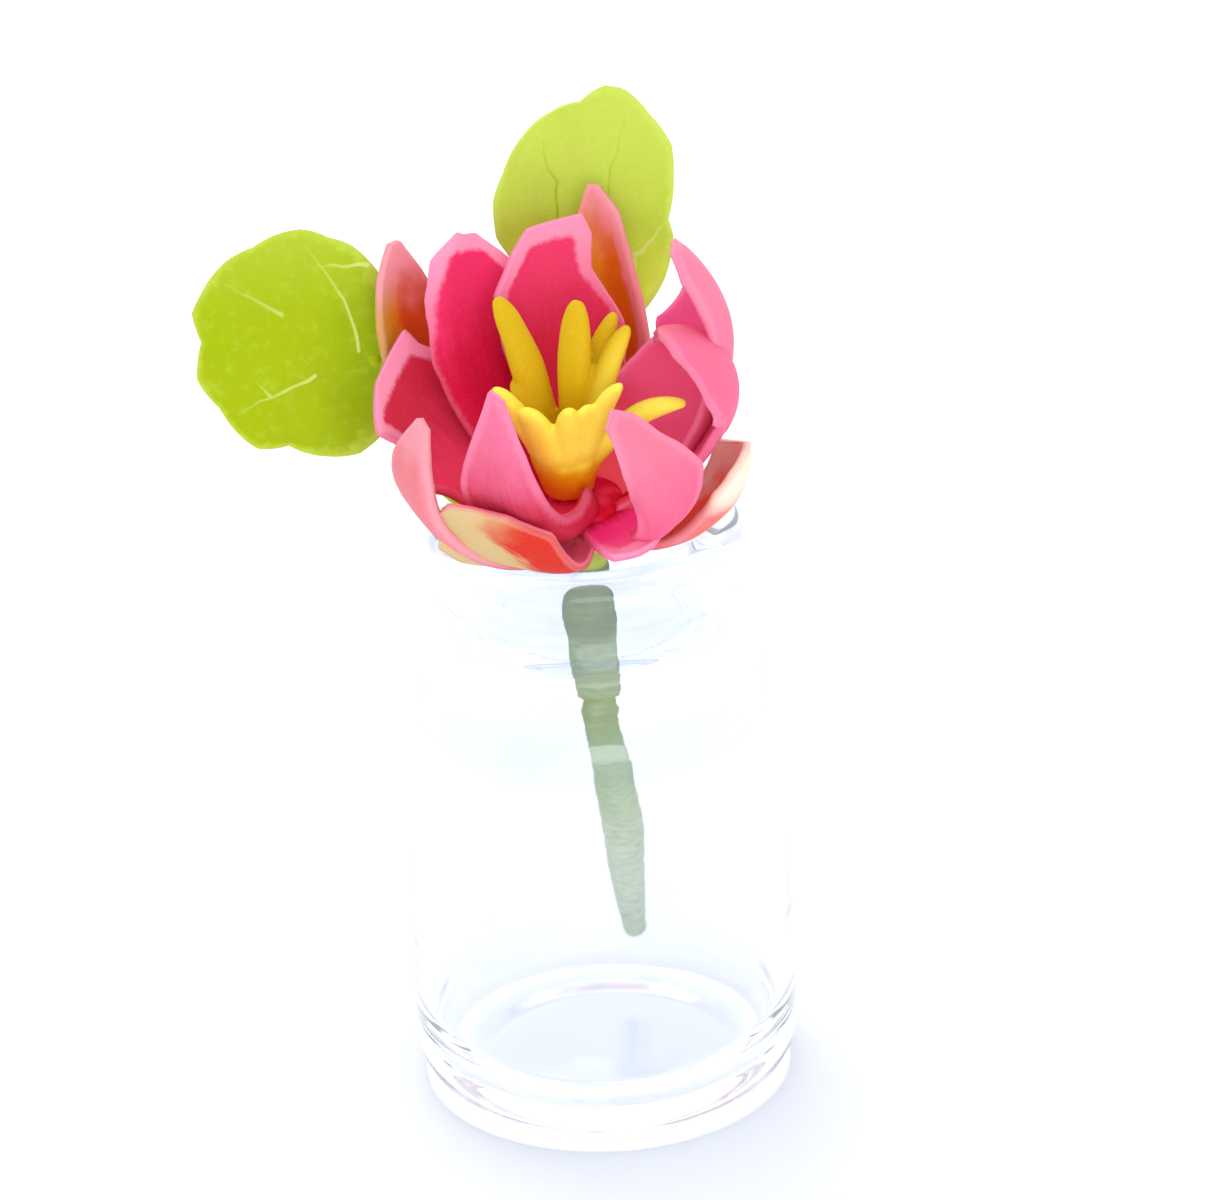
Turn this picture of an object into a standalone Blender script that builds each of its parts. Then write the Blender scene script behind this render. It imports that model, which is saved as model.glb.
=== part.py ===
"""Handmade clay water lily with two lily pads, its taped wire stem leaning in a small empty glass vial.

Metres, +Z up. The origin is the middle of the vial's underside, and -Y is the side that the bloom leans to.
"""
from math import atan2, cos, degrees, pi, radians, sin, sqrt

import bmesh
import bpy
import numpy as np
from mathutils import Matrix, Vector

# Vial: outer and inner radii, heights above the surface it stands on
BODY_RADIUS = 0.0110
WALL = 0.0010
HEEL_RADIUS = 0.0030
FLOOR_HEIGHT = 0.0014
FLOOR_CROWN = 0.0005
FLOOR_FILLET = 0.0045
SHOULDER_HEIGHT = 0.0242
SHOULDER_RADIUS = 0.0040
WAIST_RADIUS = 0.00785
WAIST_HEIGHT = 0.0287
LIP_RADIUS = 0.0089
LIP_LOWER_HEIGHT = 0.0314
LIP_ROUND = 0.0011
MOUTH_RADIUS = 0.0063
MOUTH_ROUND = 0.0007
VIAL_HEIGHT = 0.0350
VIAL_STEPS = 40

# Stem: centre line from the foot on the vial's rounded floor to the top of the binding, and the stem's
# radius at heights from foot to neck
STEM_ROUTE = (
    (0.00195, 0.00820, 0.0042),
    (0.00167, 0.00560, 0.0080),
    (0.00149, 0.00410, 0.0112),
    (0.00140, 0.00270, 0.0142),
    (0.00087, 0.00060, 0.0190),
    (0.00041, -0.00100, 0.0227),
    (0.00035, -0.00230, 0.0259),
    (0.00010, -0.00400, 0.0305),
    (-0.00015, -0.00435, 0.0341),
)
STEM_HEIGHTS = (0.0035, 0.0053, 0.0080, 0.0112, 0.0142, 0.0190, 0.0211, 0.0227, 0.0236, 0.0246, 0.0302, 0.0310,
                0.0341, 0.0350)
STEM_RADII = (0.00062, 0.00066, 0.00085, 0.00103, 0.00115, 0.00107, 0.00095, 0.00090, 0.00092, 0.00112, 0.00120,
              0.00134, 0.00134, 0.00108)
TAPE_PITCH = 0.0017
TAPE_STEP = 0.00004

# Bloom: its foot, and the way its axis tips to the front (X) and to the left (Y), in degrees
BLOOM_FOOT = Vector((0.0001, -0.0066, 0.03895))
BLOOM_TURN = (10, -3)
PETAL_THICKNESS = 0.00064
PETAL_ROWS = 10
PETAL_COLUMNS = 8
SECTION_STEPS = 40
MIDRIB_STEPS = 4
MIDRIB_POWER = 2.2
NECK_GAP = 0.0009

# Each petal: azimuth from the right side, seen from above, length along the midrib, width, angle from the
# bloom's axis at foot and tip, turn of the anticlockwise and the clockwise margin over half the width, and
# what sets it apart from a plain blade. Angles are in degrees. The margins are the reach of the edge on
# each side, as shares of half the width, at these shares of the length.
MARGIN_PLACES = (0, 0.30, 0.60, 0.80, 0.92, 1)
PINK_PETALS = {
    "back": dict(at=96, length=0.0158, width=0.0070, spread=(74, 18), cup=(39, 30),
        slant=-0.20, nod=3, bend=-3,
        clockwise=(0.30, 0.94, 1.08, 0.62, 0.65, 0.52), anticlockwise=(0.36, 0.66, 0.97, 1.06, 0.71, 0.35)),
    "back_left": dict(at=127, length=0.0164, width=0.0079, spread=(81, 20), cup=(31, 41),
        slant=0.07, nod=-9, bend=-14, roll=(-60, 0),
        clockwise=(0.43, 0.88, 1.04, 0.85, 0.49, 0.14), anticlockwise=(0.54, 0.77, 1.01, 0.87, 0.64, 0.12)),
    "left": dict(at=152, length=0.0130, width=0.0105, spread=(98, 36), cup=(32, 24),
        slant=-0.08, nod=-7, bend=7,
        clockwise=(0.41, 1.14, 1.08, 0.76, 0.62, 0.63), anticlockwise=(0.42, 0.63, 1.09, 0.73, 0.87, 0.12)),
    "front_left": dict(at=238, length=0.0159, width=0.0069, spread=(96, -1), cup=(134, -28),
        slant=-0.57, nod=6,
        clockwise=(1.02, 0.77, 0.76, 0.43, 0.23, 0.12), anticlockwise=(1.02, 0.66, 0.54, 0.40, 0.25, 0.12)),
    "front": dict(at=301, length=0.0047, width=0.0057, spread=(92, 84), cup=(35, 27),
        slant=-0.10, bend=3,
        clockwise=(0.45, 0.63, 0.75, 0.73, 0.69, 0.17), anticlockwise=(0.95, 0.92, 0.92, 0.81, 0.51, 0.23)),
    "front_right": dict(at=319, length=0.0158, width=0.0038, spread=(120, -12), cup=(-16, 85),
        slant=0.23, nod=17, bend=-26,
        clockwise=(0.30, 0.78, 1.28, 0.95, 0.61, 0.32), anticlockwise=(0.30, 0.37, 1.35, 0.71, 0.58, 0.27)),
    "right": dict(at=19, length=0.0162, width=0.0121, spread=(84, 21), cup=(85, 61),
        slant=-0.18, nod=99, bend=-11,
        clockwise=(0.30, 0.59, 0.83, 0.94, 0.74, 0.14), anticlockwise=(0.62, 1.00, 0.88, 0.76, 0.66, 0.20)),
    "back_right": dict(at=21, length=0.0187, width=0.0095, spread=(89, 12), cup=(19, 97),
        slant=-0.23, nod=48, bend=13,
        clockwise=(0.44, 0.75, 0.79, 0.67, 0.54, 0.28), anticlockwise=(0.30, 0.79, 1.26, 0.78, 0.39, 0.16)),
}
TINTED_PETALS = {
    "rear": dict(at=69, length=0.0209, width=0.0045, spread=(112, 10), cup=(59, 61),
        slant=0.23, nod=-24, bend=20, drop=0.0016,
        clockwise=(0.53, 0.96, 1.05, 0.69, 0.55, 0.12), anticlockwise=(0.36, 0.88, 1.04, 0.77, 0.53, 0.12)),
    "rear_left": dict(at=141, length=0.0211, width=0.0057, spread=(108, 21), cup=(28, 62),
        slant=-0.05, nod=11, bend=-15, drop=0.0019,
        clockwise=(0.40, 0.79, 1.03, 0.94, 0.54, 0.14), anticlockwise=(0.35, 0.61, 0.79, 0.93, 0.60, 0.12)),
    "far_left": dict(at=205, length=0.0176, width=0.0060, spread=(106, 14), cup=(58, 5),
        slant=-0.13, nod=31, bend=7, drop=0.0017,
        clockwise=(0.74, 0.95, 1.08, 0.72, 0.37, 0.12), anticlockwise=(0.60, 0.62, 0.58, 0.52, 0.36, 0.20)),
    "low_front": dict(at=238, length=0.0116, width=0.0069, spread=(111, 23), cup=(33, -24),
        slant=0.26, nod=-1, bend=-31, drop=0.0012,
        clockwise=(0.49, 0.72, 0.93, 0.91, 0.56, 0.16), anticlockwise=(0.36, 0.79, 1.19, 0.83, 0.47, 0.12)),
    "low_right": dict(at=354, length=0.0116, width=0.0064, spread=(117, 35), cup=(47, 61),
        slant=-0.24, nod=27, bend=-6, drop=0.0017,
        clockwise=(0.48, 0.76, 1.02, 0.97, 0.64, 0.20), anticlockwise=(0.38, 0.63, 0.95, 1.14, 0.58, 0.12)),
}
PINK_CORE_RADIUS = 0.0021
PINK_CORE_HEIGHTS = (-0.0004, 0.0009)
PINK_ROOT = 0.0012
TINTED_CORE_RADIUS = 0.0022
TINTED_CORE_HEIGHTS = (-0.0020, -0.0009)
TINTED_ROOT = 0.0013

# Stamens: azimuth, reach and height of each finger's tip from the cup's foot, and its width
STAMENS_SHIFT = (-0.0008, 0.0003)
STAMENS_LIFT = 0.0020
CUP_FOOT_RADIUS = 0.0014
CUP_RADIUS = 0.0024
CUP_DEPTH = 0.0026
FINGERS = (
    (124, 0.0053, 0.0092, 0.0020),
    (59, 0.0029, 0.0098, 0.0021),
    (44, 0.0048, 0.0082, 0.0017),
    (19, 0.0044, 0.0085, 0.0019),
    (137, 0.0034, 0.0050, 0.0020),
    (200, 0.0037, 0.0070, 0.0019),
    (236, 0.0033, 0.0064, 0.0021),
    (280, 0.0030, 0.0064, 0.0016),
    (305, 0.0028, 0.0060, 0.0015),
    (325, 0.0042, 0.0073, 0.0018),
    (349, 0.0070, 0.0050, 0.0018),
)
FINGER_FLATNESS = 0.65
FINGER_SIDES = 8
FINGER_RINGS = 6

# Lily pads: base point, direction of the midrib, direction across, length, width, the scalloped outline as
# turn from the midrib in degrees and reach, and the route of the stalk from the binding on the stem
PAD_THICKNESS = 0.0007
PAD_CELLS = 14
PAD_WAVE = 0.00028
STALK_RADIUS = 0.00045
PADS = {
    "leaf_left": dict(base=(-0.0105, 0.0016, 0.0449), along=(-0.95, 0.12, 0.10), across=(0.05, -0.35, -0.90),
                      length=0.0111, width=0.0130, phase=0.4,
                      outline=((-160, 1.02), (-142, 1.08), (-121, 1.04), (-106, 0.98), (-90, 0.99), (-60, 0.92),
                               (-43, 0.97), (-20, 1.00), (-10, 1.03), (4, 0.90), (23, 0.98), (43, 0.89), (57, 0.91),
                               (77, 0.94), (96, 0.87), (117, 1.04), (133, 1.19), (143, 1.22), (160, 1.10), (180, 1.00)),
                      stalk=((-0.0014, -0.0047, 0.0362), (-0.0040, -0.0032, 0.0361), (-0.0078, -0.0008, 0.0378),
                             (-0.0106, 0.0015, 0.0415), (-0.0113, 0.0014, 0.0452))),
    "leaf_top": dict(base=(0.0007, 0.0056, 0.0448), along=(0.02, 0.33, 0.94), across=(1.0, 0.0, 0.0),
                     length=0.0132, width=0.0103, phase=1.0,
                     outline=((-150, 0.92), (-116, 0.97), (-107, 1.02), (-89, 1.00), (-75, 0.92), (-48, 0.86),
                              (-25, 0.83), (-2, 0.84), (14, 1.00), (26, 1.04), (46, 1.02), (65, 1.06), (80, 0.99),
                              (101, 0.92), (109, 1.01), (129, 1.09), (146, 1.13), (165, 1.03)),
                     stalk=((0.0010, -0.0037, 0.0362), (0.0012, -0.0018, 0.0362), (0.0012, 0.0022, 0.0371),
                            (0.0010, 0.0051, 0.0402), (0.0008, 0.0060, 0.0435), (0.0007, 0.0062, 0.0462))),
}

PINK = (0.84, 0.05, 0.16, 1)
TINTED = (0.80, 0.22, 0.10, 1)
YELLOW = (0.90, 0.58, 0.03, 1)
LEAF_GREEN = (0.50, 0.62, 0.05, 1)
TAPE_GREEN = (0.28, 0.34, 0.22, 1)
GLASS = (0.97, 0.98, 1.0, 1)


def clear_scene():
    for stray in list(bpy.data.objects):
        bpy.data.objects.remove(stray, do_unlink=True)


def make_collection(name):
    collection = bpy.data.collections.new(name)
    bpy.context.scene.collection.children.link(collection)
    return collection


def make_material(name, colour, roughness, transmission=0.0, ior=1.5):
    material = bpy.data.materials.new(name)
    material.use_nodes = True
    shader = material.node_tree.nodes["Principled BSDF"]
    shader.inputs["Base Color"].default_value = colour
    shader.inputs["Roughness"].default_value = roughness
    shader.inputs["Metallic"].default_value = 0.0
    shader.inputs["Transmission Weight"].default_value = transmission
    shader.inputs["IOR"].default_value = ior
    material.diffuse_color = colour
    return material


def add_object(name, mesh, collection, material=None):
    piece = bpy.data.objects.new(name, mesh)
    collection.objects.link(piece)
    if material:
        mesh.materials.append(material)
    return piece


def finish_bmesh(bm, name):
    bmesh.ops.recalc_face_normals(bm, faces=bm.faces)
    mesh = bpy.data.meshes.new(name)
    bm.to_mesh(mesh)
    bm.free()
    return mesh


def apply_modifiers(piece):
    depsgraph = bpy.context.evaluated_depsgraph_get()
    mesh = bpy.data.meshes.new_from_object(piece.evaluated_get(depsgraph))
    mesh.name = piece.name
    piece.modifiers.clear()
    piece.data = mesh


def fuse(body, pieces, solver="EXACT"):
    """Join every object of the collection to the body, then drop the collection's objects."""
    union = body.modifiers.new("fuse", "BOOLEAN")
    union.operation = "UNION"
    union.operand_type = "COLLECTION"
    union.collection = pieces
    union.solver = solver
    apply_modifiers(body)
    for piece in list(pieces.objects):
        bpy.data.objects.remove(piece, do_unlink=True)
    bpy.data.collections.remove(pieces)


def smoothstep(value):
    value = np.clip(value, 0, 1)
    return value * value * (3 - 2 * value)


def arc(centre_radius, centre_height, radius, start, end, steps):
    """Points of an arc in the plane of radius and height, angles in degrees."""
    angles = [radians(start + (end - start) * step / steps) for step in range(steps + 1)]
    return [(centre_radius + radius * cos(a), centre_height + radius * sin(a)) for a in angles]


def vial_profile():
    """Radius and height, from the middle of the floor up the inside, over the lip and down the outside."""
    inner = BODY_RADIUS - WALL
    shoulder_middle = BODY_RADIUS - SHOULDER_RADIUS
    fillet_middle = inner - FLOOR_FILLET
    points = [(0, FLOOR_HEIGHT + FLOOR_CROWN), (0.30 * inner, FLOOR_HEIGHT + 0.5 * FLOOR_CROWN)]
    points += arc(fillet_middle, FLOOR_HEIGHT + FLOOR_FILLET, FLOOR_FILLET, -90, 0, 5)
    points += arc(shoulder_middle, SHOULDER_HEIGHT, SHOULDER_RADIUS - WALL, 0, 66, 4)
    points += [(MOUTH_RADIUS + 0.0004, SHOULDER_HEIGHT + 0.0036), (MOUTH_RADIUS, WAIST_HEIGHT + 0.0004)]
    points += arc(MOUTH_RADIUS + MOUTH_ROUND, VIAL_HEIGHT - MOUTH_ROUND, MOUTH_ROUND, 180, 90, 3)
    points += arc(LIP_RADIUS - LIP_ROUND, VIAL_HEIGHT - LIP_ROUND, LIP_ROUND, 90, 0, 4)
    points += [(LIP_RADIUS, LIP_LOWER_HEIGHT), (0.7 * LIP_RADIUS + 0.3 * WAIST_RADIUS, LIP_LOWER_HEIGHT - 0.0012)]
    points += [(0.2 * LIP_RADIUS + 0.8 * WAIST_RADIUS, WAIST_HEIGHT + 0.0006), (WAIST_RADIUS, WAIST_HEIGHT)]
    points += arc(shoulder_middle, SHOULDER_HEIGHT, SHOULDER_RADIUS, 72, 0, 6)
    points += arc(BODY_RADIUS - HEEL_RADIUS, HEEL_RADIUS, HEEL_RADIUS, 0, -90, 5)
    points += [(0, 0)]
    return points


def make_vial(collection, material):
    profile = vial_profile()
    mesh = bpy.data.meshes.new("bottle")
    edges = [(i, i + 1) for i in range(len(profile) - 1)]
    mesh.from_pydata([(radius, 0, height) for radius, height in profile], edges, [])
    vial = add_object("bottle", mesh, collection, material)
    turn = vial.modifiers.new("turn", "SCREW")
    turn.steps = VIAL_STEPS
    turn.render_steps = VIAL_STEPS
    turn.use_merge_vertices = True
    turn.merge_threshold = 0.00001
    turn.use_smooth_shade = True
    return vial


def tube(name, points, radii, collection, resolution):
    """A closed tube through the points, as a mesh object."""
    curve = bpy.data.curves.new(name, "CURVE")
    curve.dimensions = "3D"
    curve.bevel_depth = 1.0
    curve.bevel_resolution = resolution
    curve.use_fill_caps = True
    spline = curve.splines.new("POLY")
    spline.points.add(len(points) - 1)
    for knot, point, radius in zip(spline.points, points, radii):
        knot.co = (*point, 1)
        knot.radius = radius
    wire = bpy.data.objects.new(name, curve)
    collection.objects.link(wire)
    mesh = bpy.data.meshes.new_from_object(wire.evaluated_get(bpy.context.evaluated_depsgraph_get()))
    bpy.data.objects.remove(wire, do_unlink=True)
    bm = bmesh.new()
    bm.from_mesh(mesh)
    bmesh.ops.remove_doubles(bm, verts=bm.verts, dist=0.00001)
    return add_object(name, finish_bmesh(bm, name), collection)


def smooth_route(knots, steps):
    """Points of a smooth curve through the knots, evenly many between each two."""
    ends = [2 * knots[0] - knots[1], *knots, 2 * knots[-1] - knots[-2]]
    route = []
    for a, b, c, d in zip(ends, ends[1:], ends[2:], ends[3:]):
        for step in range(steps):
            t = step / steps
            route.append(0.5 * (2 * b + (c - a) * t + (2 * a - 5 * b + 4 * c - d) * t ** 2
                                + (3 * b - a - 3 * c + d) * t ** 3))
    route.append(knots[-1])
    return route


def bloom_matrix():
    tilt, lean = (radians(angle) for angle in BLOOM_TURN)
    return Matrix.Translation(BLOOM_FOOT) @ Matrix.Rotation(lean, 4, "Y") @ Matrix.Rotation(tilt, 4, "X")


def tape_radius(height):
    """Radius of the taped stem: slim foot, a waist where one length of tape ends, a thick binding, a neck."""
    wound = TAPE_STEP * sin(2 * pi * height / TAPE_PITCH)
    return float(np.interp(height, STEM_HEIGHTS, STEM_RADII)) + wound


def make_stem(collection, material):
    neck = bloom_matrix() @ Vector((0, 0, TINTED_CORE_HEIGHTS[0] - NECK_GAP))
    route = smooth_route([Vector(knot) for knot in STEM_ROUTE] + [neck], 5)
    stem = tube("stem", route, [tape_radius(point.z) for point in route], collection, 3)
    stem.data.materials.append(material)
    stem.data.shade_smooth()
    return stem


def midrib_angle(petal, along):
    """Angle between the midrib and the bloom's axis at a share of the petal's length."""
    foot_angle, tip_angle = petal["spread"]
    settled = 1 - (1 - along) ** MIDRIB_POWER
    return radians(foot_angle + (tip_angle - foot_angle) * settled - petal["nod"] * smoothstep(2 * along - 1))


def petal_stations(petal, rows):
    """Share of length, place, tangent, side and inner direction down the midrib, in the bloom's frame."""
    azimuth = radians(petal["at"])
    outward = Vector((cos(azimuth), sin(azimuth), 0))
    upward = Vector((0, 0, 1))
    sideways = upward.cross(outward)
    place = outward * petal["root"] - upward * petal["drop"]
    stations = []
    previous = 0.0
    for step in range(rows * MIDRIB_STEPS + 1):
        along = 1 - (1 - step / (rows * MIDRIB_STEPS)) ** 1.35
        angle = midrib_angle(petal, (along + previous) / 2)
        tangent = sin(angle) * outward + cos(angle) * upward
        inner = sin(angle) * upward - cos(angle) * outward
        swing = Matrix.Rotation(radians(petal["bend"]) * along, 3, inner)
        place = place + swing @ tangent * (along - previous) * petal["length"]
        if step % MIDRIB_STEPS == 0:
            stations.append((along, place, swing @ tangent, swing @ sideways, inner))
        previous = along
    return stations


def section(reach, cup, roll):
    """Sideways and inward offset of a margin that curls by cup, and near its edge by roll, at a reach."""
    steps = np.linspace(0, 1, SECTION_STEPS + 1)
    turn = np.radians(cup * steps + roll * smoothstep((steps - 0.5) / 0.5))
    middle = (turn[1:] + turn[:-1]) / 2
    aside = np.concatenate([[0], np.cumsum(np.cos(middle))]) / SECTION_STEPS
    inward = np.concatenate([[0], np.cumsum(np.sin(middle))]) / SECTION_STEPS
    return float(np.interp(reach, steps, aside)), float(np.interp(reach, steps, inward))


def petal_mesh(name, petal):
    """One petal as an open sheet of triangles, bent from a flat grid."""
    bm = bmesh.new()
    bmesh.ops.create_grid(bm, x_segments=PETAL_COLUMNS, y_segments=PETAL_ROWS, size=1.0)
    stations = petal_stations(petal, PETAL_ROWS)
    for vertex in bm.verts:
        row = round((vertex.co.y + 1) / 2 * PETAL_ROWS)
        along, place, tangent, sideways, inner = stations[row]
        side = 0 if vertex.co.x >= 0 else 1
        share = float(np.interp(along, MARGIN_PLACES, petal[("anticlockwise", "clockwise")[side]]))
        half = petal["width"] / 2 * share
        roll = petal["roll"][side] * float(smoothstep(along / 0.7))
        aside, inward = section(abs(vertex.co.x), petal["cup"][side] * share, roll)
        if side:
            aside = -aside
        lag = petal["slant"] * along ** 2 * aside
        vertex.co = place + half * (aside * sideways + inward * inner + lag * tangent)
    bmesh.ops.remove_doubles(bm, verts=bm.verts, dist=0.00005)
    bmesh.ops.triangulate(bm, faces=bm.faces)
    mesh = bpy.data.meshes.new(name)
    bm.to_mesh(mesh)
    bm.free()
    return mesh


def make_core(name, radius, heights, collection, material):
    """The round lump of clay that the petals' feet are pressed into."""
    bottom, top = heights
    bm = bmesh.new()
    bmesh.ops.create_cone(bm, cap_ends=True, segments=20, radius1=radius, radius2=radius, depth=top - bottom)
    bmesh.ops.translate(bm, verts=bm.verts, vec=(0, 0, (top + bottom) / 2))
    return add_object(name, finish_bmesh(bm, name), collection, material)


def make_whorl(name, petals, root, core_radius, core_heights, collection, material):
    """A core with its petals, fused to one body and set at the bloom's place."""
    body = make_core(name, core_radius, core_heights, collection, material)
    pieces = make_collection(name + "_petals")
    plain = dict(root=root, drop=0.0, bend=0, nod=0, roll=(0, 0))
    for title, petal in petals.items():
        blade = add_object(title, petal_mesh(title, plain | petal), pieces, material)
        wall = blade.modifiers.new("thickness", "SOLIDIFY")
        wall.thickness = PETAL_THICKNESS
        wall.offset = 0
    fuse(body, pieces)
    body.data.shade_smooth()
    body.matrix_world = bloom_matrix()
    return body


def finger_mesh(name, azimuth, reach, height, width):
    """One stamen: a rod bent along a curve from the cup to its tip, flattened and rounded off."""
    turn = radians(azimuth)
    outward = Vector((cos(turn), sin(turn), 0))
    upward = Vector((0, 0, 1))
    sideways = upward.cross(outward)
    root = 0.0010 * outward
    tip = reach * outward + height * upward
    elbow = (0.0012 + 0.35 * (reach - 0.0010)) * outward + 0.75 * max(height, 0.0065) * upward
    bm = bmesh.new()
    bmesh.ops.create_cone(bm, cap_ends=True, segments=FINGER_SIDES, radius1=1, radius2=1, depth=1)
    upright = [edge for edge in bm.edges if abs(edge.verts[0].co.z - edge.verts[1].co.z) > 0.5]
    bmesh.ops.subdivide_edges(bm, edges=upright, cuts=FINGER_RINGS)
    for vertex in bm.verts:
        along = sin(pi / 2 * (vertex.co.z + 0.5))
        place = (1 - along) ** 2 * root + 2 * along * (1 - along) * elbow + along ** 2 * tip
        tangent = (2 * (1 - along) * (elbow - root) + 2 * along * (tip - elbow)).normalized()
        thickness = tangent.cross(sideways)
        taper = sqrt(max(1 - max(0.0, (along - 0.45) / 0.57) ** 2, 0.02)) * (0.8 + 0.2 * min(1.0, along / 0.4))
        half = width / 2 * taper
        vertex.co = place + half * (vertex.co.x * sideways + FINGER_FLATNESS * vertex.co.y * thickness)
    return finish_bmesh(bm, name)


def make_stamens(collection, material):
    """The rolled strip of yellow clay: a cup whose upper part is cut into fingers."""
    bm = bmesh.new()
    bmesh.ops.create_cone(bm, cap_ends=True, segments=20, radius1=CUP_FOOT_RADIUS, radius2=CUP_RADIUS, depth=CUP_DEPTH)
    bmesh.ops.translate(bm, verts=bm.verts, vec=(0, 0, CUP_DEPTH / 2))
    cup = add_object("stamens", finish_bmesh(bm, "stamens"), collection, material)
    pieces = make_collection("stamen_fingers")
    for number, finger in enumerate(FINGERS):
        name = f"finger_{number}"
        mesh = finger_mesh(name, *finger)
        mesh.transform(Matrix.Translation((0, 0, 0.0008)))
        add_object(name, mesh, pieces, material)
    fuse(cup, pieces)
    cup.data.shade_smooth()
    cup.matrix_world = bloom_matrix() @ Matrix.Translation((*STAMENS_SHIFT, STAMENS_LIFT - 0.0008))
    return cup


def pad_point(pad, x, y):
    """Place of a point of the unit square on the pad: the square is rounded to a disc with a scalloped edge."""
    disc_x = x * sqrt(1 - y * y / 2)
    disc_y = y * sqrt(1 - x * x / 2)
    reach = sqrt(disc_x ** 2 + disc_y ** 2)
    turn = atan2(disc_x, disc_y)
    turns, reaches = zip(*pad["outline"])
    edge = 1 + (float(np.interp(degrees(turn), turns, reaches, period=360)) - 1) * reach ** 2
    along = Vector(pad["along"]).normalized()
    across = (Vector(pad["across"]) - along * Vector(pad["across"]).dot(along)).normalized()
    face = across.cross(along)
    lift = PAD_WAVE * reach ** 2 * sin(3 * turn + pad["phase"]) + 0.5 * PAD_WAVE * reach ** 2 * cos(7 * turn)
    return (Vector(pad["base"]) + along * pad["length"] / 2 * (1 + disc_y * edge)
            + across * pad["width"] / 2 * disc_x * edge + face * lift)


def make_pad(name, pad, collection, material):
    """A lily pad: a waved, scalloped blade of clay with its stalk."""
    bm = bmesh.new()
    bmesh.ops.create_grid(bm, x_segments=PAD_CELLS, y_segments=PAD_CELLS, size=1.0)
    for vertex in bm.verts:
        vertex.co = pad_point(pad, vertex.co.x, vertex.co.y)
    bmesh.ops.triangulate(bm, faces=bm.faces)
    mesh = bpy.data.meshes.new(name)
    bm.to_mesh(mesh)
    bm.free()
    leaf = add_object(name, mesh, collection, material)
    wall = leaf.modifiers.new("thickness", "SOLIDIFY")
    wall.thickness = PAD_THICKNESS
    wall.offset = 0
    apply_modifiers(leaf)
    pieces = make_collection(name + "_stalk")
    route = smooth_route([Vector(point) for point in pad["stalk"]], 4)
    tube(name + "_stalk", route, [STALK_RADIUS] * len(route), pieces, 2)
    fuse(leaf, pieces)
    leaf.data.shade_smooth()
    return leaf


def main():
    clear_scene()
    collection = make_collection("water_lily_in_bottle")
    make_vial(collection, make_material("glass", GLASS, 0.02, transmission=1.0))
    make_stem(collection, make_material("stem_tape", TAPE_GREEN, 0.85))
    make_whorl("petals", PINK_PETALS, PINK_ROOT, PINK_CORE_RADIUS, PINK_CORE_HEIGHTS, collection,
               make_material("pink_clay", PINK, 0.45))
    make_whorl("outer_petals", TINTED_PETALS, TINTED_ROOT, TINTED_CORE_RADIUS, TINTED_CORE_HEIGHTS, collection,
               make_material("tinted_clay", TINTED, 0.45))
    make_stamens(collection, make_material("yellow_clay", YELLOW, 0.45))
    leaf_clay = make_material("leaf_clay", LEAF_GREEN, 0.5)
    for name, pad in PADS.items():
        make_pad(name, pad, collection, leaf_clay)


main()
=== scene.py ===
"""Handmade clay water lily with two pads, its taped wire stem leaning in a small empty glass vial."""
from math import atan2, cos, degrees, pi, radians, sin, sqrt

import bmesh
import bpy
import numpy as np
from mathutils import Matrix, Vector, noise


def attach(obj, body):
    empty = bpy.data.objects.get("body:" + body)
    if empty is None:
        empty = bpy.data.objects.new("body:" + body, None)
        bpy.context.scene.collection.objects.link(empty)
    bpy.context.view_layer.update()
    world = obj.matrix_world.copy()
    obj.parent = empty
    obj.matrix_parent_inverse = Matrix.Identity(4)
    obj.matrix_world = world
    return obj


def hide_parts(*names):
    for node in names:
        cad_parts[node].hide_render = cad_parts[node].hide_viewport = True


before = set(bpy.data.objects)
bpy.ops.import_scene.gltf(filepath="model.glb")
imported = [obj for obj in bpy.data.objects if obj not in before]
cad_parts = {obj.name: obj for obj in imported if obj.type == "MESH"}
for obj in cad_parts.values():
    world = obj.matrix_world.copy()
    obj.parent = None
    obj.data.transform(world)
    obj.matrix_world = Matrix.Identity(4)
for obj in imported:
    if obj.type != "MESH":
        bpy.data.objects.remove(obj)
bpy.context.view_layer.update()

# Camera. A long lens looks down on the bloom from the front, rolled slightly to one side, with the
# middle of the picture a few millimetres under the lip of the vial.
VIEW_POINT = Vector((0.0, -0.39733, 0.22876))
VIEW_AIM = Vector((0.00083, 0.0, 0.0298))
VIEW_ROLL = -2.55
VIEW_LENS = 235.1


def aimed(place, aim):
    """Matrix of a camera or a lamp that stands at the place and looks at the aim."""
    return Matrix.Translation(place) @ (aim - place).to_track_quat("-Z", "Y").to_matrix().to_4x4()


lens = bpy.data.cameras.new("camera")
lens.lens = VIEW_LENS
lens.sensor_width = 36
lens.clip_start = 0.05
lens.clip_end = 10
camera = bpy.data.objects.new("camera", lens)
bpy.context.scene.collection.objects.link(camera)
camera.matrix_world = aimed(VIEW_POINT, VIEW_AIM) @ Matrix.Rotation(radians(VIEW_ROLL), 4, "Z")
bpy.context.scene.camera = camera


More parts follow.
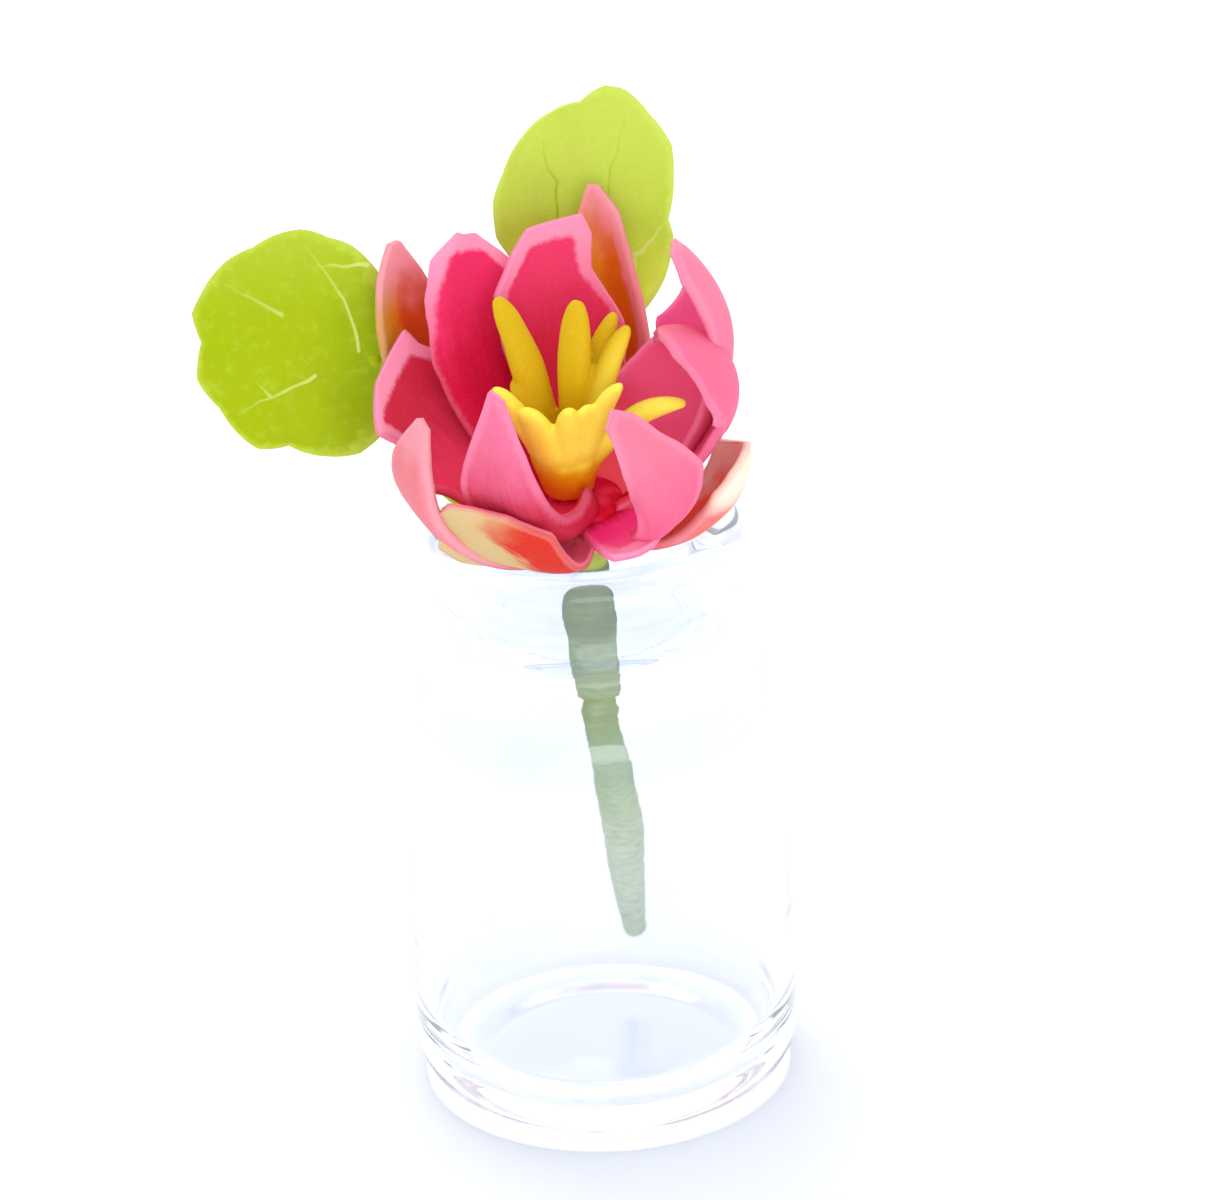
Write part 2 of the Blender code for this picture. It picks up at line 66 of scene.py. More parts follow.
# Vial. Clear blown glass, one piece from the rounded heel to the rolled lip, with a thick floor and
# a shallow hollow under it. It stands on the ring round that hollow, and it is empty. The shoulder and
# the neck are a little bluer than the rest: the shoulder as painted shade for the bluish edges of glass
# seen edge-on, the neck in streaks, partly the glass's own tint and partly painted shade. The whole
# glass carries a faint painted glow, and the drawn glass ripples slightly.
BODY_RADIUS = 0.0110
WALL = 0.0010
HEEL_RADIUS = 0.0030
FLOOR_HEIGHT = 0.0014
FLOOR_CROWN = 0.0005
FLOOR_FILLET = 0.0045
UNDER_HOLLOW = 0.0005
SHOULDER_HEIGHT = 0.0242
SHOULDER_RADIUS = 0.0040
WAIST_RADIUS = 0.00785
WAIST_HEIGHT = 0.0287
LIP_RADIUS = 0.0089
LIP_LOWER_HEIGHT = 0.0314
LIP_ROUND = 0.0011
MOUTH_RADIUS = 0.0063
MOUTH_ROUND = 0.0007
VIAL_HEIGHT = 0.0350
INNER_SHOULDER_TURN = 66
OUTER_SHOULDER_TURN = 72
VIAL_STEPS = 160
NECK_FROM = (0.0280, 0.0300)
SHOULDER_FROM = (0.0226, 0.0240)
SHOULDER_TO = (0.0276, 0.0262)
RIPPLE_DEPTH = 0.00004
CLEAR_TINT = (0.945, 0.96, 1.0)
BLUE_TINT_AND_SHADE = (0.76, 0.80, 1.0)
PAINTED_GLASS_GLOW = (0.93, 0.96, 1.0, 1)
GLASS_BOUNCES = 40
MERGE_DISTANCE = 0.000002


class Value:
    """A number that varies over a surface; arithmetic on it adds Math nodes."""

    def __init__(self, nodes, socket):
        self.nodes = nodes
        self.socket = socket

    def __add__(self, other):
        return self.nodes.math("ADD", self, other)

    def __sub__(self, other):
        return self.nodes.math("SUBTRACT", self, other)

    def __rsub__(self, other):
        return self.nodes.math("SUBTRACT", other, self)

    def __mul__(self, other):
        return self.nodes.math("MULTIPLY", self, other)

    __radd__ = __add__
    __rmul__ = __mul__


class Nodes:
    """The nodes of one finish or of the sky, added one call at a time."""

    def __init__(self, tree):
        self.tree = tree

    def node(self, kind, settings=None, inputs=None, output=0):
        """Any node: its settings first, then the values or links of its sockets; gives one output."""
        made = self.tree.nodes.new("ShaderNode" + kind)
        for title, value in (settings or {}).items():
            setattr(made, title, value)
        for title, value in (inputs or {}).items():
            if isinstance(value, Value):
                self.tree.links.new(value.socket, made.inputs[title])
            else:
                made.inputs[title].default_value = value
        return Value(self, made.outputs[output])

    def math(self, operation, first, second):
        """The result of one sum on two numbers."""
        return self.node("Math", {"operation": operation}, {0: first, 1: second})

    def mix(self, share, first, second):
        """The first colour turning into the second as the share goes from 0 to 1."""
        inputs = {0: share}
        for slot, colour in ((6, first), (7, second)):
            inputs[slot] = colour if isinstance(colour, Value) else (*colour, 1.0)
        return self.node("Mix", {"data_type": "RGBA"}, inputs, output=2)


class Finish(Nodes):
    """One material under construction, with the constants of its shader set directly on it."""

    def __init__(self, name, **constants):
        self.material = bpy.data.materials.new(name)
        self.material.use_nodes = True
        super().__init__(self.material.node_tree)
        self.shader = self.tree.nodes["Principled BSDF"]
        for title, value in constants.items():
            self.shader.inputs[title.replace("_", " ")].default_value = value

    def attribute(self, name):
        """A number that the mesh carries at each vertex."""
        return self.node("Attribute", {"attribute_name": name}, output="Fac")

    def place(self):
        """The place on the object, in metres."""
        return self.node("TexCoord", output="Object")

    def axis(self, name):
        """One coordinate of the place on the object."""
        return self.node("SeparateXYZ", {}, {"Vector": self.place()}, output=name)

    def noise(self, size, detail=2, rough=0.5, stretch=(1, 1, 1)):
        """Noise of 0 to 1, mostly near 0.5, whose features are about so large, in metres."""
        scale = [part / size for part in stretch]
        spot = self.node("Mapping", {"vector_type": "POINT"}, {"Vector": self.place(), "Scale": scale})
        return self.node("TexNoise", {}, {"Vector": spot, "Scale": 1.0, "Detail": detail,
                                          "Roughness": rough})

    def between(self, value, low, high, start=0.0, end=1.0):
        """Start where the value is low, end where it is high, with a smooth change between."""
        ends = {"From Min": low, "From Max": high, "To Min": start, "To Max": end}
        return self.node("MapRange", {"interpolation_type": "SMOOTHSTEP"}, {"Value": value, **ends})

    def bump(self, height, depth):
        """A Bump node whose height of 1 stands for so many metres."""
        return self.node("Bump", {}, {"Height": height, "Distance": depth, "Strength": 1.0})

    def set(self, **links):
        """The finished material, with these values on the shader's sockets."""
        for title, value in links.items():
            self.tree.links.new(value.socket, self.shader.inputs[title.replace("_", " ")])
        return self.material


def arc(centre_radius, centre_height, radius, start, end, steps):
    """Points of an arc in the plane of radius and height, angles in degrees."""
    angles = [radians(start + (end - start) * step / steps) for step in range(steps + 1)]
    return [(centre_radius + radius * cos(a), centre_height + radius * sin(a)) for a in angles]


def add_piece(name, bm, material, node):
    """The finished mesh as a piece that rides with the object and stands for this node."""
    mesh = bpy.data.meshes.new(name)
    bm.to_mesh(mesh)
    bm.free()
    mesh.shade_smooth()
    mesh.materials.append(material)
    piece = bpy.data.objects.new(name, mesh)
    bpy.context.scene.collection.objects.link(piece)
    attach(piece, "root")
    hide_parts(node)


def vial_profile():
    """Radius and height, from the middle of the floor up the inside and down the outside."""
    inner = BODY_RADIUS - WALL
    shoulder_middle = BODY_RADIUS - SHOULDER_RADIUS
    fillet_middle = inner - FLOOR_FILLET
    foot_ring = BODY_RADIUS - HEEL_RADIUS
    neck_overhang = LIP_RADIUS - WAIST_RADIUS
    points = [(fillet_middle * share, FLOOR_HEIGHT + FLOOR_CROWN * (1 - share ** 2) ** 2)
              for share in np.linspace(0, 0.95, 12)]
    points += arc(fillet_middle, FLOOR_HEIGHT + FLOOR_FILLET, FLOOR_FILLET, -90, 0, 20)
    points += arc(shoulder_middle, SHOULDER_HEIGHT, SHOULDER_RADIUS - WALL, 0, INNER_SHOULDER_TURN, 12)
    points += [(MOUTH_RADIUS + 0.0007, SHOULDER_HEIGHT + 0.0034),
               (MOUTH_RADIUS + 0.0003, SHOULDER_HEIGHT + 0.0040),
               (MOUTH_RADIUS, WAIST_HEIGHT + 0.0006),
               (MOUTH_RADIUS, WAIST_HEIGHT + 0.0030)]
    points += arc(MOUTH_RADIUS + MOUTH_ROUND, VIAL_HEIGHT - MOUTH_ROUND, MOUTH_ROUND, 180, 90, 8)
    points += arc(LIP_RADIUS - LIP_ROUND, VIAL_HEIGHT - LIP_ROUND, LIP_ROUND, 90, 0, 10)
    points += [(LIP_RADIUS + 0.00003, LIP_LOWER_HEIGHT + 0.0012),
               (LIP_RADIUS, LIP_LOWER_HEIGHT + 0.0003),
               (WAIST_RADIUS + 0.9 * neck_overhang, LIP_LOWER_HEIGHT - 0.0004),
               (WAIST_RADIUS + 0.6 * neck_overhang, LIP_LOWER_HEIGHT - 0.0012),
               (WAIST_RADIUS + 0.2 * neck_overhang, WAIST_HEIGHT + 0.0007),
               (WAIST_RADIUS, WAIST_HEIGHT)]
    points += arc(shoulder_middle, SHOULDER_HEIGHT, SHOULDER_RADIUS, OUTER_SHOULDER_TURN, 0, 16)
    points += [(BODY_RADIUS, HEEL_RADIUS + share * (SHOULDER_HEIGHT - HEEL_RADIUS))
               for share in (0.75, 0.5, 0.25)]
    points += arc(foot_ring, HEEL_RADIUS, HEEL_RADIUS, 0, -90, 12)
    points += [(foot_ring * share, UNDER_HOLLOW * (1 - share ** 2) ** 2)
               for share in (0.9, 0.75, 0.6, 0.45, 0.3, 0.15)]
    points += [(0, UNDER_HOLLOW)]
    return points


bm = bmesh.new()
rim = [bm.verts.new((radius, 0, height)) for radius, height in vial_profile()]
wall = [bm.edges.new(pair) for pair in zip(rim, rim[1:])]
bmesh.ops.spin(bm, geom=rim + wall, cent=(0, 0, 0), axis=(0, 0, 1), angle=2 * pi, steps=VIAL_STEPS,
               use_merge=True)
bmesh.ops.remove_doubles(bm, verts=bm.verts, dist=MERGE_DISTANCE)
bmesh.ops.recalc_face_normals(bm, faces=bm.faces)

# Painted light: the glass glows faintly, pale blue, though it is no lamp.
clear = Finish("clear_glass", Roughness=0.05, IOR=1.45, Transmission_Weight=1.0,
               Emission_Color=PAINTED_GLASS_GLOW, Emission_Strength=0.014)
ripple = clear.noise(0.006, detail=1)
drawn = clear.noise(0.0030, detail=3, stretch=(0.4, 0.4, 3.0))
height = clear.axis("Z")
# The neck is painted bluer in streaks, partly the glass's own tint and partly painted shade; the shoulder
# band is painted shade for the bluish edges of glass seen edge-on.
neck_tint_and_shade = clear.between(height, *NECK_FROM) * clear.between(drawn, 0.38, 0.62)
painted_shoulder_shade = clear.between(height, *SHOULDER_FROM) * clear.between(height, *SHOULDER_TO)
colour = clear.mix(neck_tint_and_shade + painted_shoulder_shade * 0.5, CLEAR_TINT, BLUE_TINT_AND_SHADE)
clear_glass = clear.set(Base_Color=colour, Normal=clear.bump(ripple, RIPPLE_DEPTH))
add_piece("vial", bm, clear_glass, "bottle")
bpy.context.scene.cycles.max_bounces = GLASS_BOUNCES
bpy.context.scene.cycles.transmission_bounces = GLASS_BOUNCES
bpy.context.scene.cycles.glossy_bounces = GLASS_BOUNCES // 2


# Stem. Steel wire wound in grey-green crepe floral tape, with a thicker binding where it passes the
# mouth of the vial. Its foot rests on the floor of the vial and its neck holds the bloom.

# The bloom's own frame: the place of its foot, and its tilt about X and Y in degrees.
BLOOM_FOOT = Vector((0.0001, -0.0066, 0.03895))
BLOOM_TURN = (10, -3)
NECK_BELOW_BLOOM = 0.0029

# Knots of the stem's middle line from its foot up, and its radius at each height.
STEM_ROUTE = (
    (0.00195, 0.00820, 0.0042),
    (0.00167, 0.00560, 0.0080),
    (0.00149, 0.00410, 0.0112),
    (0.00140, 0.00270, 0.0142),
    (0.00087, 0.00060, 0.0190),
    (0.00041, -0.00100, 0.0227),
    (0.00035, -0.00230, 0.0259),
    (0.00010, -0.00400, 0.0305),
    (-0.00015, -0.00435, 0.0341),
)
STEM_HEIGHTS = (0.0035, 0.0053, 0.0080, 0.0112, 0.0142, 0.0190, 0.0211, 0.0227, 0.0236, 0.0246,
                0.0302, 0.0310, 0.0341, 0.0350)
STEM_RADII = (0.00062, 0.00066, 0.00085, 0.00103, 0.00115, 0.00107, 0.00095, 0.00090, 0.00092, 0.00112,
              0.00120, 0.00134, 0.00134, 0.00108)

TAPE_PITCH = 0.0017
TAPE_STEP = 0.00007
TAPE_LAP = 0.93
CREASE_DEPTH = 0.00004
FRAY_DEPTH = 0.00010
END_ROUNDING = 0.0003
BINDING_TO = (0.0310, 0.0300)
MIDDLE_TO = (0.0210, 0.0100)
TAPE_END_FROM = (0.0250, 0.0236)
TAPE_END_TO = (0.0205, 0.0222)
NECK_COLOUR_FROM = (0.0347, 0.0350)
SEPAL_SIDE_FROM = (-0.0004, -0.0001)
WEAVE_DEPTH = 0.00006
STEM_ROWS = 420
STEM_SIDES = 48


def smoothstep(value):
    """0 up to 0 and 1 from 1 on, with a smooth rise between."""
    value = np.clip(value, 0, 1)
    return value * value * (3 - 2 * value)


def smooth_route(knots, steps):
    """Points of a smooth curve through the knots, evenly many between each two."""
    ends = [2 * knots[0] - knots[1], *knots, 2 * knots[-1] - knots[-2]]
    route = []
    for a, b, c, d in zip(ends, ends[1:], ends[2:], ends[3:]):
        for step in range(steps):
            t = step / steps
            route.append(0.5 * (2 * b + (c - a) * t + (2 * a - 5 * b + 4 * c - d) * t ** 2
                                + (3 * b - a - 3 * c + d) * t ** 3))
    route.append(knots[-1])
    return route


def tube(route, radius_at, rows, sides):
    """A closed tube with rounded ends; radius_at gives its radius at a point and an angle round it."""
    bm = bmesh.new()
    bmesh.ops.create_grid(bm, x_segments=sides, y_segments=rows, size=1.0)
    spans = np.cumsum([0.0] + [(b - a).length for a, b in zip(route, route[1:])])
    places = np.array([point[:] for point in route])

    def place_at(length):
        """Point of the route at this distance from its start."""
        return Vector([np.interp(length, spans, places[:, axis]) for axis in range(3)])

    for vertex in bm.verts:
        angle = pi * vertex.co.x
        length = float(spans[-1] * (vertex.co.y + 1) / 2)
        place = place_at(length)
        along = (place_at(length + 0.0002) - place_at(length - 0.0002)).normalized()
        side = along.cross(Vector((0, 1, 0.01))).normalized()
        front = side.cross(along)
        end = min(length, spans[-1] - length)
        rounding = sqrt(max(0.0, 1 - max(0.0, 1 - end / END_ROUNDING) ** 2))
        radius = radius_at(place, length, angle) * rounding
        vertex.co = place + radius * (cos(angle) * side + sin(angle) * front)
    bmesh.ops.remove_doubles(bm, verts=bm.verts, dist=MERGE_DISTANCE)
    bmesh.ops.recalc_face_normals(bm, faces=bm.faces)
    return bm


def tape_radius(place, length, angle):
    """Radius of the taped stem: slim foot, waist where one tape ends, thick binding, neck."""
    radius = float(np.interp(place.z, STEM_HEIGHTS, STEM_RADII))
    winding = (length / TAPE_PITCH - angle / (2 * pi)) % 1.0
    overlap = TAPE_STEP * (winding if winding < TAPE_LAP else (1 - winding) * TAPE_LAP / (1 - TAPE_LAP))
    crease = CREASE_DEPTH * noise.noise(Vector((angle * 1.2, length * 2600, 3.0)))
    fray = FRAY_DEPTH * max(0.0, noise.noise(Vector((angle * 3.0, length * 5200, 8.0))) - 0.25)
    return radius + overlap + crease + fray


bloom_matrix = (Matrix.Translation(BLOOM_FOOT) @ Matrix.Rotation(radians(BLOOM_TURN[1]), 4, "Y")
                @ Matrix.Rotation(radians(BLOOM_TURN[0]), 4, "X"))
stem_top = bloom_matrix @ Vector((0, 0, -NECK_BELOW_BLOOM))
route = smooth_route([Vector(knot) for knot in STEM_ROUTE] + [stem_top], 6)
bm = tube(route, tape_radius, STEM_ROWS, STEM_SIDES)


def shade(red, green, blue):
    """A paint from its three parts as a screen gives them, 0 to 255."""
    return tuple((part / 255) ** 2.2 for part in (red, green, blue))


BINDING_GREEN = shade(152, 168, 112)
MIDDLE_GREEN = shade(186, 207, 148)
FOOT_GREEN = shade(222, 236, 203)
OLIVE = shade(170, 192, 116)
CREASE_SHADE_GREEN = shade(128, 146, 106)
NECK_GREEN = shade(50, 92, 40)
SEPAL_GREEN = shade(180, 202, 100)
tape = Finish("floral_tape", Roughness=0.85, Specular_IOR_Level=0.2)
height = tape.axis("Z")
across = tape.axis("X")
fibre = tape.noise(0.00012, detail=4, rough=0.7)
patch = tape.noise(0.0018, detail=2)
wound = tape.noise(0.00025, detail=3, stretch=(0.3, 0.3, 2.2))
colour = tape.mix(tape.between(height, *BINDING_TO), BINDING_GREEN, MIDDLE_GREEN)
colour = tape.mix(tape.between(height + (patch - 0.5) * 0.006, *MIDDLE_TO), colour, FOOT_GREEN)
tape_end = tape.between(height, *TAPE_END_FROM) * tape.between(height, *TAPE_END_TO)
colour = tape.mix(tape_end, colour, OLIVE)
# Painted shade: the tape is darkened along the creases of its winding.
colour = tape.mix(tape.between(wound, 0.3, 0.75, 0.0, 0.40), colour, CREASE_SHADE_GREEN)
neck = tape.mix(tape.between(across, *SEPAL_SIDE_FROM), NECK_GREEN, SEPAL_GREEN)
colour = tape.mix(tape.between(height, *NECK_COLOUR_FROM), colour, neck)
floral_tape = tape.set(Base_Color=colour, Normal=tape.bump(fibre * 0.6 + wound, WEAVE_DEPTH))
add_piece("stem", bm, floral_tape, "stem")


# Petals. Thin blades cut and pinched from clay, each bent by hand: the inner ones deep pink with a
# paler back and rim, the deep pink partly painted shade and the paler back and rim partly painted light,
# the outer ones marbled from green and cream to orange and pink. Their feet are pressed in two layers on
# round lumps of clay under the stamens.
PETAL_THICKNESS = 0.00060
PETAL_ROWS = 40
PETAL_COLUMNS = 36
SECTION_STEPS = 40
MIDRIB_POWER = 2.2
ROW_CROWDING = 1.35
EDGE_SHARE = 0.72
EDGE_THINNING = 0.0009
PETAL_WOBBLE = 0.00007
PINK_ROOT = 0.0012
TINTED_ROOT = 0.0013
GRAIN_DEPTH = 0.000022
SEAM_DISTANCE = 0.000003

# A petal stands at an azimuth, in degrees anticlockwise from +X, and has a length along its midrib
# and a width. Spread is its angle from upright at the foot and at the tip. Cup curls the anticlockwise
# and the clockwise half inwards, and roll curls each further towards its edge. Slant draws the
# anticlockwise edge on towards the tip, nod bends the upper half in over the bloom, bend swings it
# anticlockwise and drop lowers the foot. The margins are shares of half the width at MARGIN_PLACES,
# from foot to tip.
MARGIN_PLACES = (0, 0.30, 0.60, 0.80, 0.92, 1)
PINK_PETALS = {
    "back": dict(
        at=96, length=0.0158, width=0.0070, spread=(74, 18), cup=(39, 30),
        slant=-0.20, nod=3, bend=-3,
        clockwise=(0.30, 0.94, 1.08, 0.62, 0.65, 0.52),
        anticlockwise=(0.36, 0.66, 0.97, 1.06, 0.71, 0.35)),
    "back_left": dict(
        at=127, length=0.0164, width=0.0079, spread=(81, 20), cup=(31, 41),
        slant=0.07, nod=-9, bend=-14, roll=(-60, 0),
        clockwise=(0.43, 0.88, 1.04, 0.85, 0.49, 0.14),
        anticlockwise=(0.54, 0.77, 1.01, 0.87, 0.64, 0.12)),
    "left": dict(
        at=152, length=0.0130, width=0.0105, spread=(98, 36), cup=(32, 24),
        slant=-0.08, nod=-7, bend=7,
        clockwise=(0.41, 1.14, 1.08, 0.76, 0.62, 0.63),
        anticlockwise=(0.42, 0.63, 1.09, 0.73, 0.87, 0.12)),
    "front_left": dict(
        at=238, length=0.0159, width=0.0069, spread=(96, -1), cup=(134, -28),
        slant=-0.57, nod=6,
        clockwise=(1.02, 0.77, 0.76, 0.43, 0.23, 0.12),
        anticlockwise=(1.02, 0.66, 0.54, 0.40, 0.25, 0.12)),
    "front": dict(
        at=301, length=0.0047, width=0.0057, spread=(92, 84), cup=(35, 27),
        slant=-0.10, bend=3,
        clockwise=(0.45, 0.63, 0.75, 0.73, 0.69, 0.17),
        anticlockwise=(0.95, 0.92, 0.92, 0.81, 0.51, 0.23)),
    "front_right": dict(
        at=319, length=0.0158, width=0.0038, spread=(120, -12), cup=(-16, 85),
        slant=0.23, nod=17, bend=-26,
        clockwise=(0.30, 0.78, 1.28, 0.95, 0.61, 0.32),
        anticlockwise=(0.30, 0.37, 1.35, 0.71, 0.58, 0.27)),
    "right": dict(
        at=19, length=0.0162, width=0.0121, spread=(84, 21), cup=(85, 61),
        slant=-0.18, nod=99, bend=-11,
        clockwise=(0.30, 0.59, 0.83, 0.94, 0.74, 0.14),
        anticlockwise=(0.62, 1.00, 0.88, 0.76, 0.66, 0.20)),
    "back_right": dict(
        at=21, length=0.0187, width=0.0095, spread=(89, 12), cup=(19, 97),
        slant=-0.23, nod=48, bend=13,
        clockwise=(0.44, 0.75, 0.79, 0.67, 0.54, 0.28),
        anticlockwise=(0.30, 0.79, 1.26, 0.78, 0.39, 0.16)),
}
TINTED_PETALS = {
    "rear": dict(
        at=69, length=0.0209, width=0.0045, spread=(112, 10), cup=(59, 61),
        slant=0.23, nod=-24, bend=20, drop=0.0016,
        clockwise=(0.53, 0.96, 1.05, 0.69, 0.55, 0.12),
        anticlockwise=(0.36, 0.88, 1.04, 0.77, 0.53, 0.12)),
    "rear_left": dict(
        at=141, length=0.0211, width=0.0057, spread=(108, 21), cup=(28, 62),
        slant=-0.05, nod=11, bend=-15, drop=0.0019,
        clockwise=(0.40, 0.79, 1.03, 0.94, 0.54, 0.14),
        anticlockwise=(0.35, 0.61, 0.79, 0.93, 0.60, 0.12)),
    "far_left": dict(
        at=205, length=0.0176, width=0.0060, spread=(106, 14), cup=(58, 5),
        slant=-0.13, nod=31, bend=7, drop=0.0017,
        clockwise=(0.74, 0.95, 1.08, 0.72, 0.37, 0.12),
        anticlockwise=(0.60, 0.62, 0.58, 0.52, 0.36, 0.20)),
    "low_front": dict(
        at=238, length=0.0116, width=0.0069, spread=(111, 23), cup=(33, -24),
        slant=0.26, nod=-1, bend=-31, drop=0.0012,
        clockwise=(0.49, 0.72, 0.93, 0.91, 0.56, 0.16),
        anticlockwise=(0.36, 0.79, 1.19, 0.83, 0.47, 0.12)),
    "low_right": dict(
        at=354, length=0.0116, width=0.0064, spread=(117, 35), cup=(47, 61),
        slant=-0.24, nod=27, bend=-6, drop=0.0017,
        clockwise=(0.48, 0.76, 1.02, 0.97, 0.64, 0.20),
        anticlockwise=(0.38, 0.63, 0.95, 1.14, 0.58, 0.12)),
}
PLAIN_PETAL = dict(drop=0.0, bend=0, nod=0, roll=(0, 0))


def share_along(row):
    """Share of the petal's length at a row; the rows crowd towards the tip."""
    return 1 - (1 - row / PETAL_ROWS) ** ROW_CROWDING


def petal_stations(petal):
    """Share of length, place, tangent, side and inner direction at each row of the midrib."""
    azimuth = radians(petal["at"])
    outward = Vector((cos(azimuth), sin(azimuth), 0))
    upward = Vector((0, 0, 1))
    sideways = upward.cross(outward)
    place = outward * petal["root"] - upward * petal["drop"]
    foot_angle, tip_angle = petal["spread"]
    stations = []
    previous = 0.0
    for row in range(PETAL_ROWS + 1):
        along = share_along(row)
        middle = (along + previous) / 2
        settled = 1 - (1 - middle) ** MIDRIB_POWER
        angle = radians(foot_angle + (tip_angle - foot_angle) * settled
                        - petal["nod"] * float(smoothstep(2 * middle - 1)))
        tangent = sin(angle) * outward + cos(angle) * upward
        inner = sin(angle) * upward - cos(angle) * outward
        swing = Matrix.Rotation(radians(petal["bend"]) * along, 3, inner)
        place = place + swing @ tangent * (along - previous) * petal["length"]
        stations.append((along, place, swing @ tangent, swing @ sideways, inner))
        previous = along
    return stations


def section(reach, cup, roll):
    """Sideways and inward offset, at each reach, of a half that curls by cup and at its edge by roll."""
    steps = np.linspace(0, 1, SECTION_STEPS + 1)
    turn = np.radians(cup * steps + roll * smoothstep((steps - 0.5) / 0.5))
    middle = (turn[1:] + turn[:-1]) / 2
    aside = np.concatenate([[0], np.cumsum(np.cos(middle))]) / SECTION_STEPS
    inward = np.concatenate([[0], np.cumsum(np.sin(middle))]) / SECTION_STEPS
    return np.interp(reach, steps, aside), np.interp(reach, steps, inward)


def petal_sheet(petal, seed):
    """Places of the petal's middle surface, row by row, and the distance of each from the free edge."""
    reach = np.linspace(-1, 1, PETAL_COLUMNS + 1)
    sheet = np.zeros((PETAL_ROWS + 1, PETAL_COLUMNS + 1, 3))
    inset = np.zeros((PETAL_ROWS + 1, PETAL_COLUMNS + 1))
    for row, (along, place, tangent, sideways, inner) in enumerate(petal_stations(petal)):
        for side, margin in ((0, "anticlockwise"), (1, "clockwise")):
            share = float(np.interp(along, MARGIN_PLACES, petal[margin]))
            half = petal["width"] / 2 * share
            roll = petal["roll"][side] * float(smoothstep(along / 0.7))
            aside, inward = section(np.abs(reach), petal["cup"][side] * share, roll)
            ragged = (1 + 0.030 * noise.noise(Vector((along * 9, side * 7.3, seed)))
                      + 0.012 * noise.noise(Vector((along * 45, side * 3.1, seed))))
            for column in (np.flatnonzero(reach >= 0) if side == 0 else np.flatnonzero(reach < 0)):
                across = float(aside[column]) * (1 if side == 0 else -1) * ragged
                lag = petal["slant"] * along ** 2 * across
                offset = across * sideways + float(inward[column]) * inner + lag * tangent
                sheet[row, column] = place + half * offset
                inset[row, column] = min((1 - abs(reach[column])) * half, (1 - along) * petal["length"])
    return sheet, inset


def petal_body(petal, seed):
    """One petal as a closed blade: a grid and its copy a thickness apart, joined along the free edge."""
    sheet, inset = petal_sheet(petal, seed)
    downward = np.gradient(sheet, axis=0)
    across = np.gradient(sheet, axis=1)
    normal = np.cross(downward, across)
    size = np.linalg.norm(normal, axis=2, keepdims=True)
    normal = normal / np.maximum(size, 1e-12)
    normal[-1] = normal[-3]
    bm = bmesh.new()
    for title in ("along", "across", "inset", "face"):
        bm.verts.layers.float.new(title)
    bmesh.ops.create_grid(bm, x_segments=PETAL_COLUMNS, y_segments=PETAL_ROWS, size=1.0)
    back = bmesh.ops.extrude_face_region(bm, geom=bm.faces[:], use_keep_orig=True)["geom"]
    moved = {item for item in back if isinstance(item, bmesh.types.BMVert)}
    along_at, across_at, inset_at, face_at = bm.verts.layers.float.values()
    for vertex in bm.verts:
        column = round((vertex.co.x + 1) / 2 * PETAL_COLUMNS)
        row = round((vertex.co.y + 1) / 2 * PETAL_ROWS)
        side = 1 if vertex in moved else -1
        edge = inset[row, column]
        fullness = EDGE_SHARE + (1 - EDGE_SHARE) * float(smoothstep(edge / EDGE_THINNING))
        thickness = PETAL_THICKNESS * fullness
        place = Vector(sheet[row, column])
        wobble = PETAL_WOBBLE * noise.noise(place * 420 + Vector((seed, 0, 0)))
        vertex[along_at] = share_along(row)
        vertex[across_at] = column / PETAL_COLUMNS * 2 - 1
        vertex[inset_at] = edge
        vertex[face_at] = side
        vertex.co = place + Vector(normal[row, column]) * (side * thickness / 2 + wobble)
    bmesh.ops.remove_doubles(bm, verts=bm.verts, dist=SEAM_DISTANCE)
    bmesh.ops.recalc_face_normals(bm, faces=bm.faces)
    bmesh.ops.transform(bm, matrix=bloom_matrix, verts=bm.verts)
    return bm


def clay(name, roughness=0.5):
    """Soft clay that lets a little light in, without gloss."""
    return Finish(name, Roughness=roughness, Subsurface_Weight=0.12, Subsurface_Scale=0.0004,
                  Subsurface_Radius=(1.0, 0.35, 0.25), Specular_IOR_Level=0.08)


def clay_grain(finish):
    """The skin of the clay: fine grain and shallow finger marks."""
    fine = finish.noise(0.00010, detail=3, rough=0.6)
    marks = finish.noise(0.0011, detail=2)
    return finish.bump(fine + marks * 1.6, GRAIN_DEPTH)


def streaks(finish, along, across):
    """Fine strokes down the petal, left by the tool that drew out its edge."""
    strokes = finish.node("CombineXYZ", {}, {"X": across * 7.0, "Y": along * 1.6})
    return finish.node("TexNoise", {}, {"Vector": strokes, "Scale": 1.6, "Detail": 4.0,
                                        "Roughness": 0.65})


PALE_RIM_AND_HIGHLIGHT = shade(251, 160, 188)
HOT_SPECK = shade(255, 70, 130)
DARK_SPECK = shade(196, 10, 48)


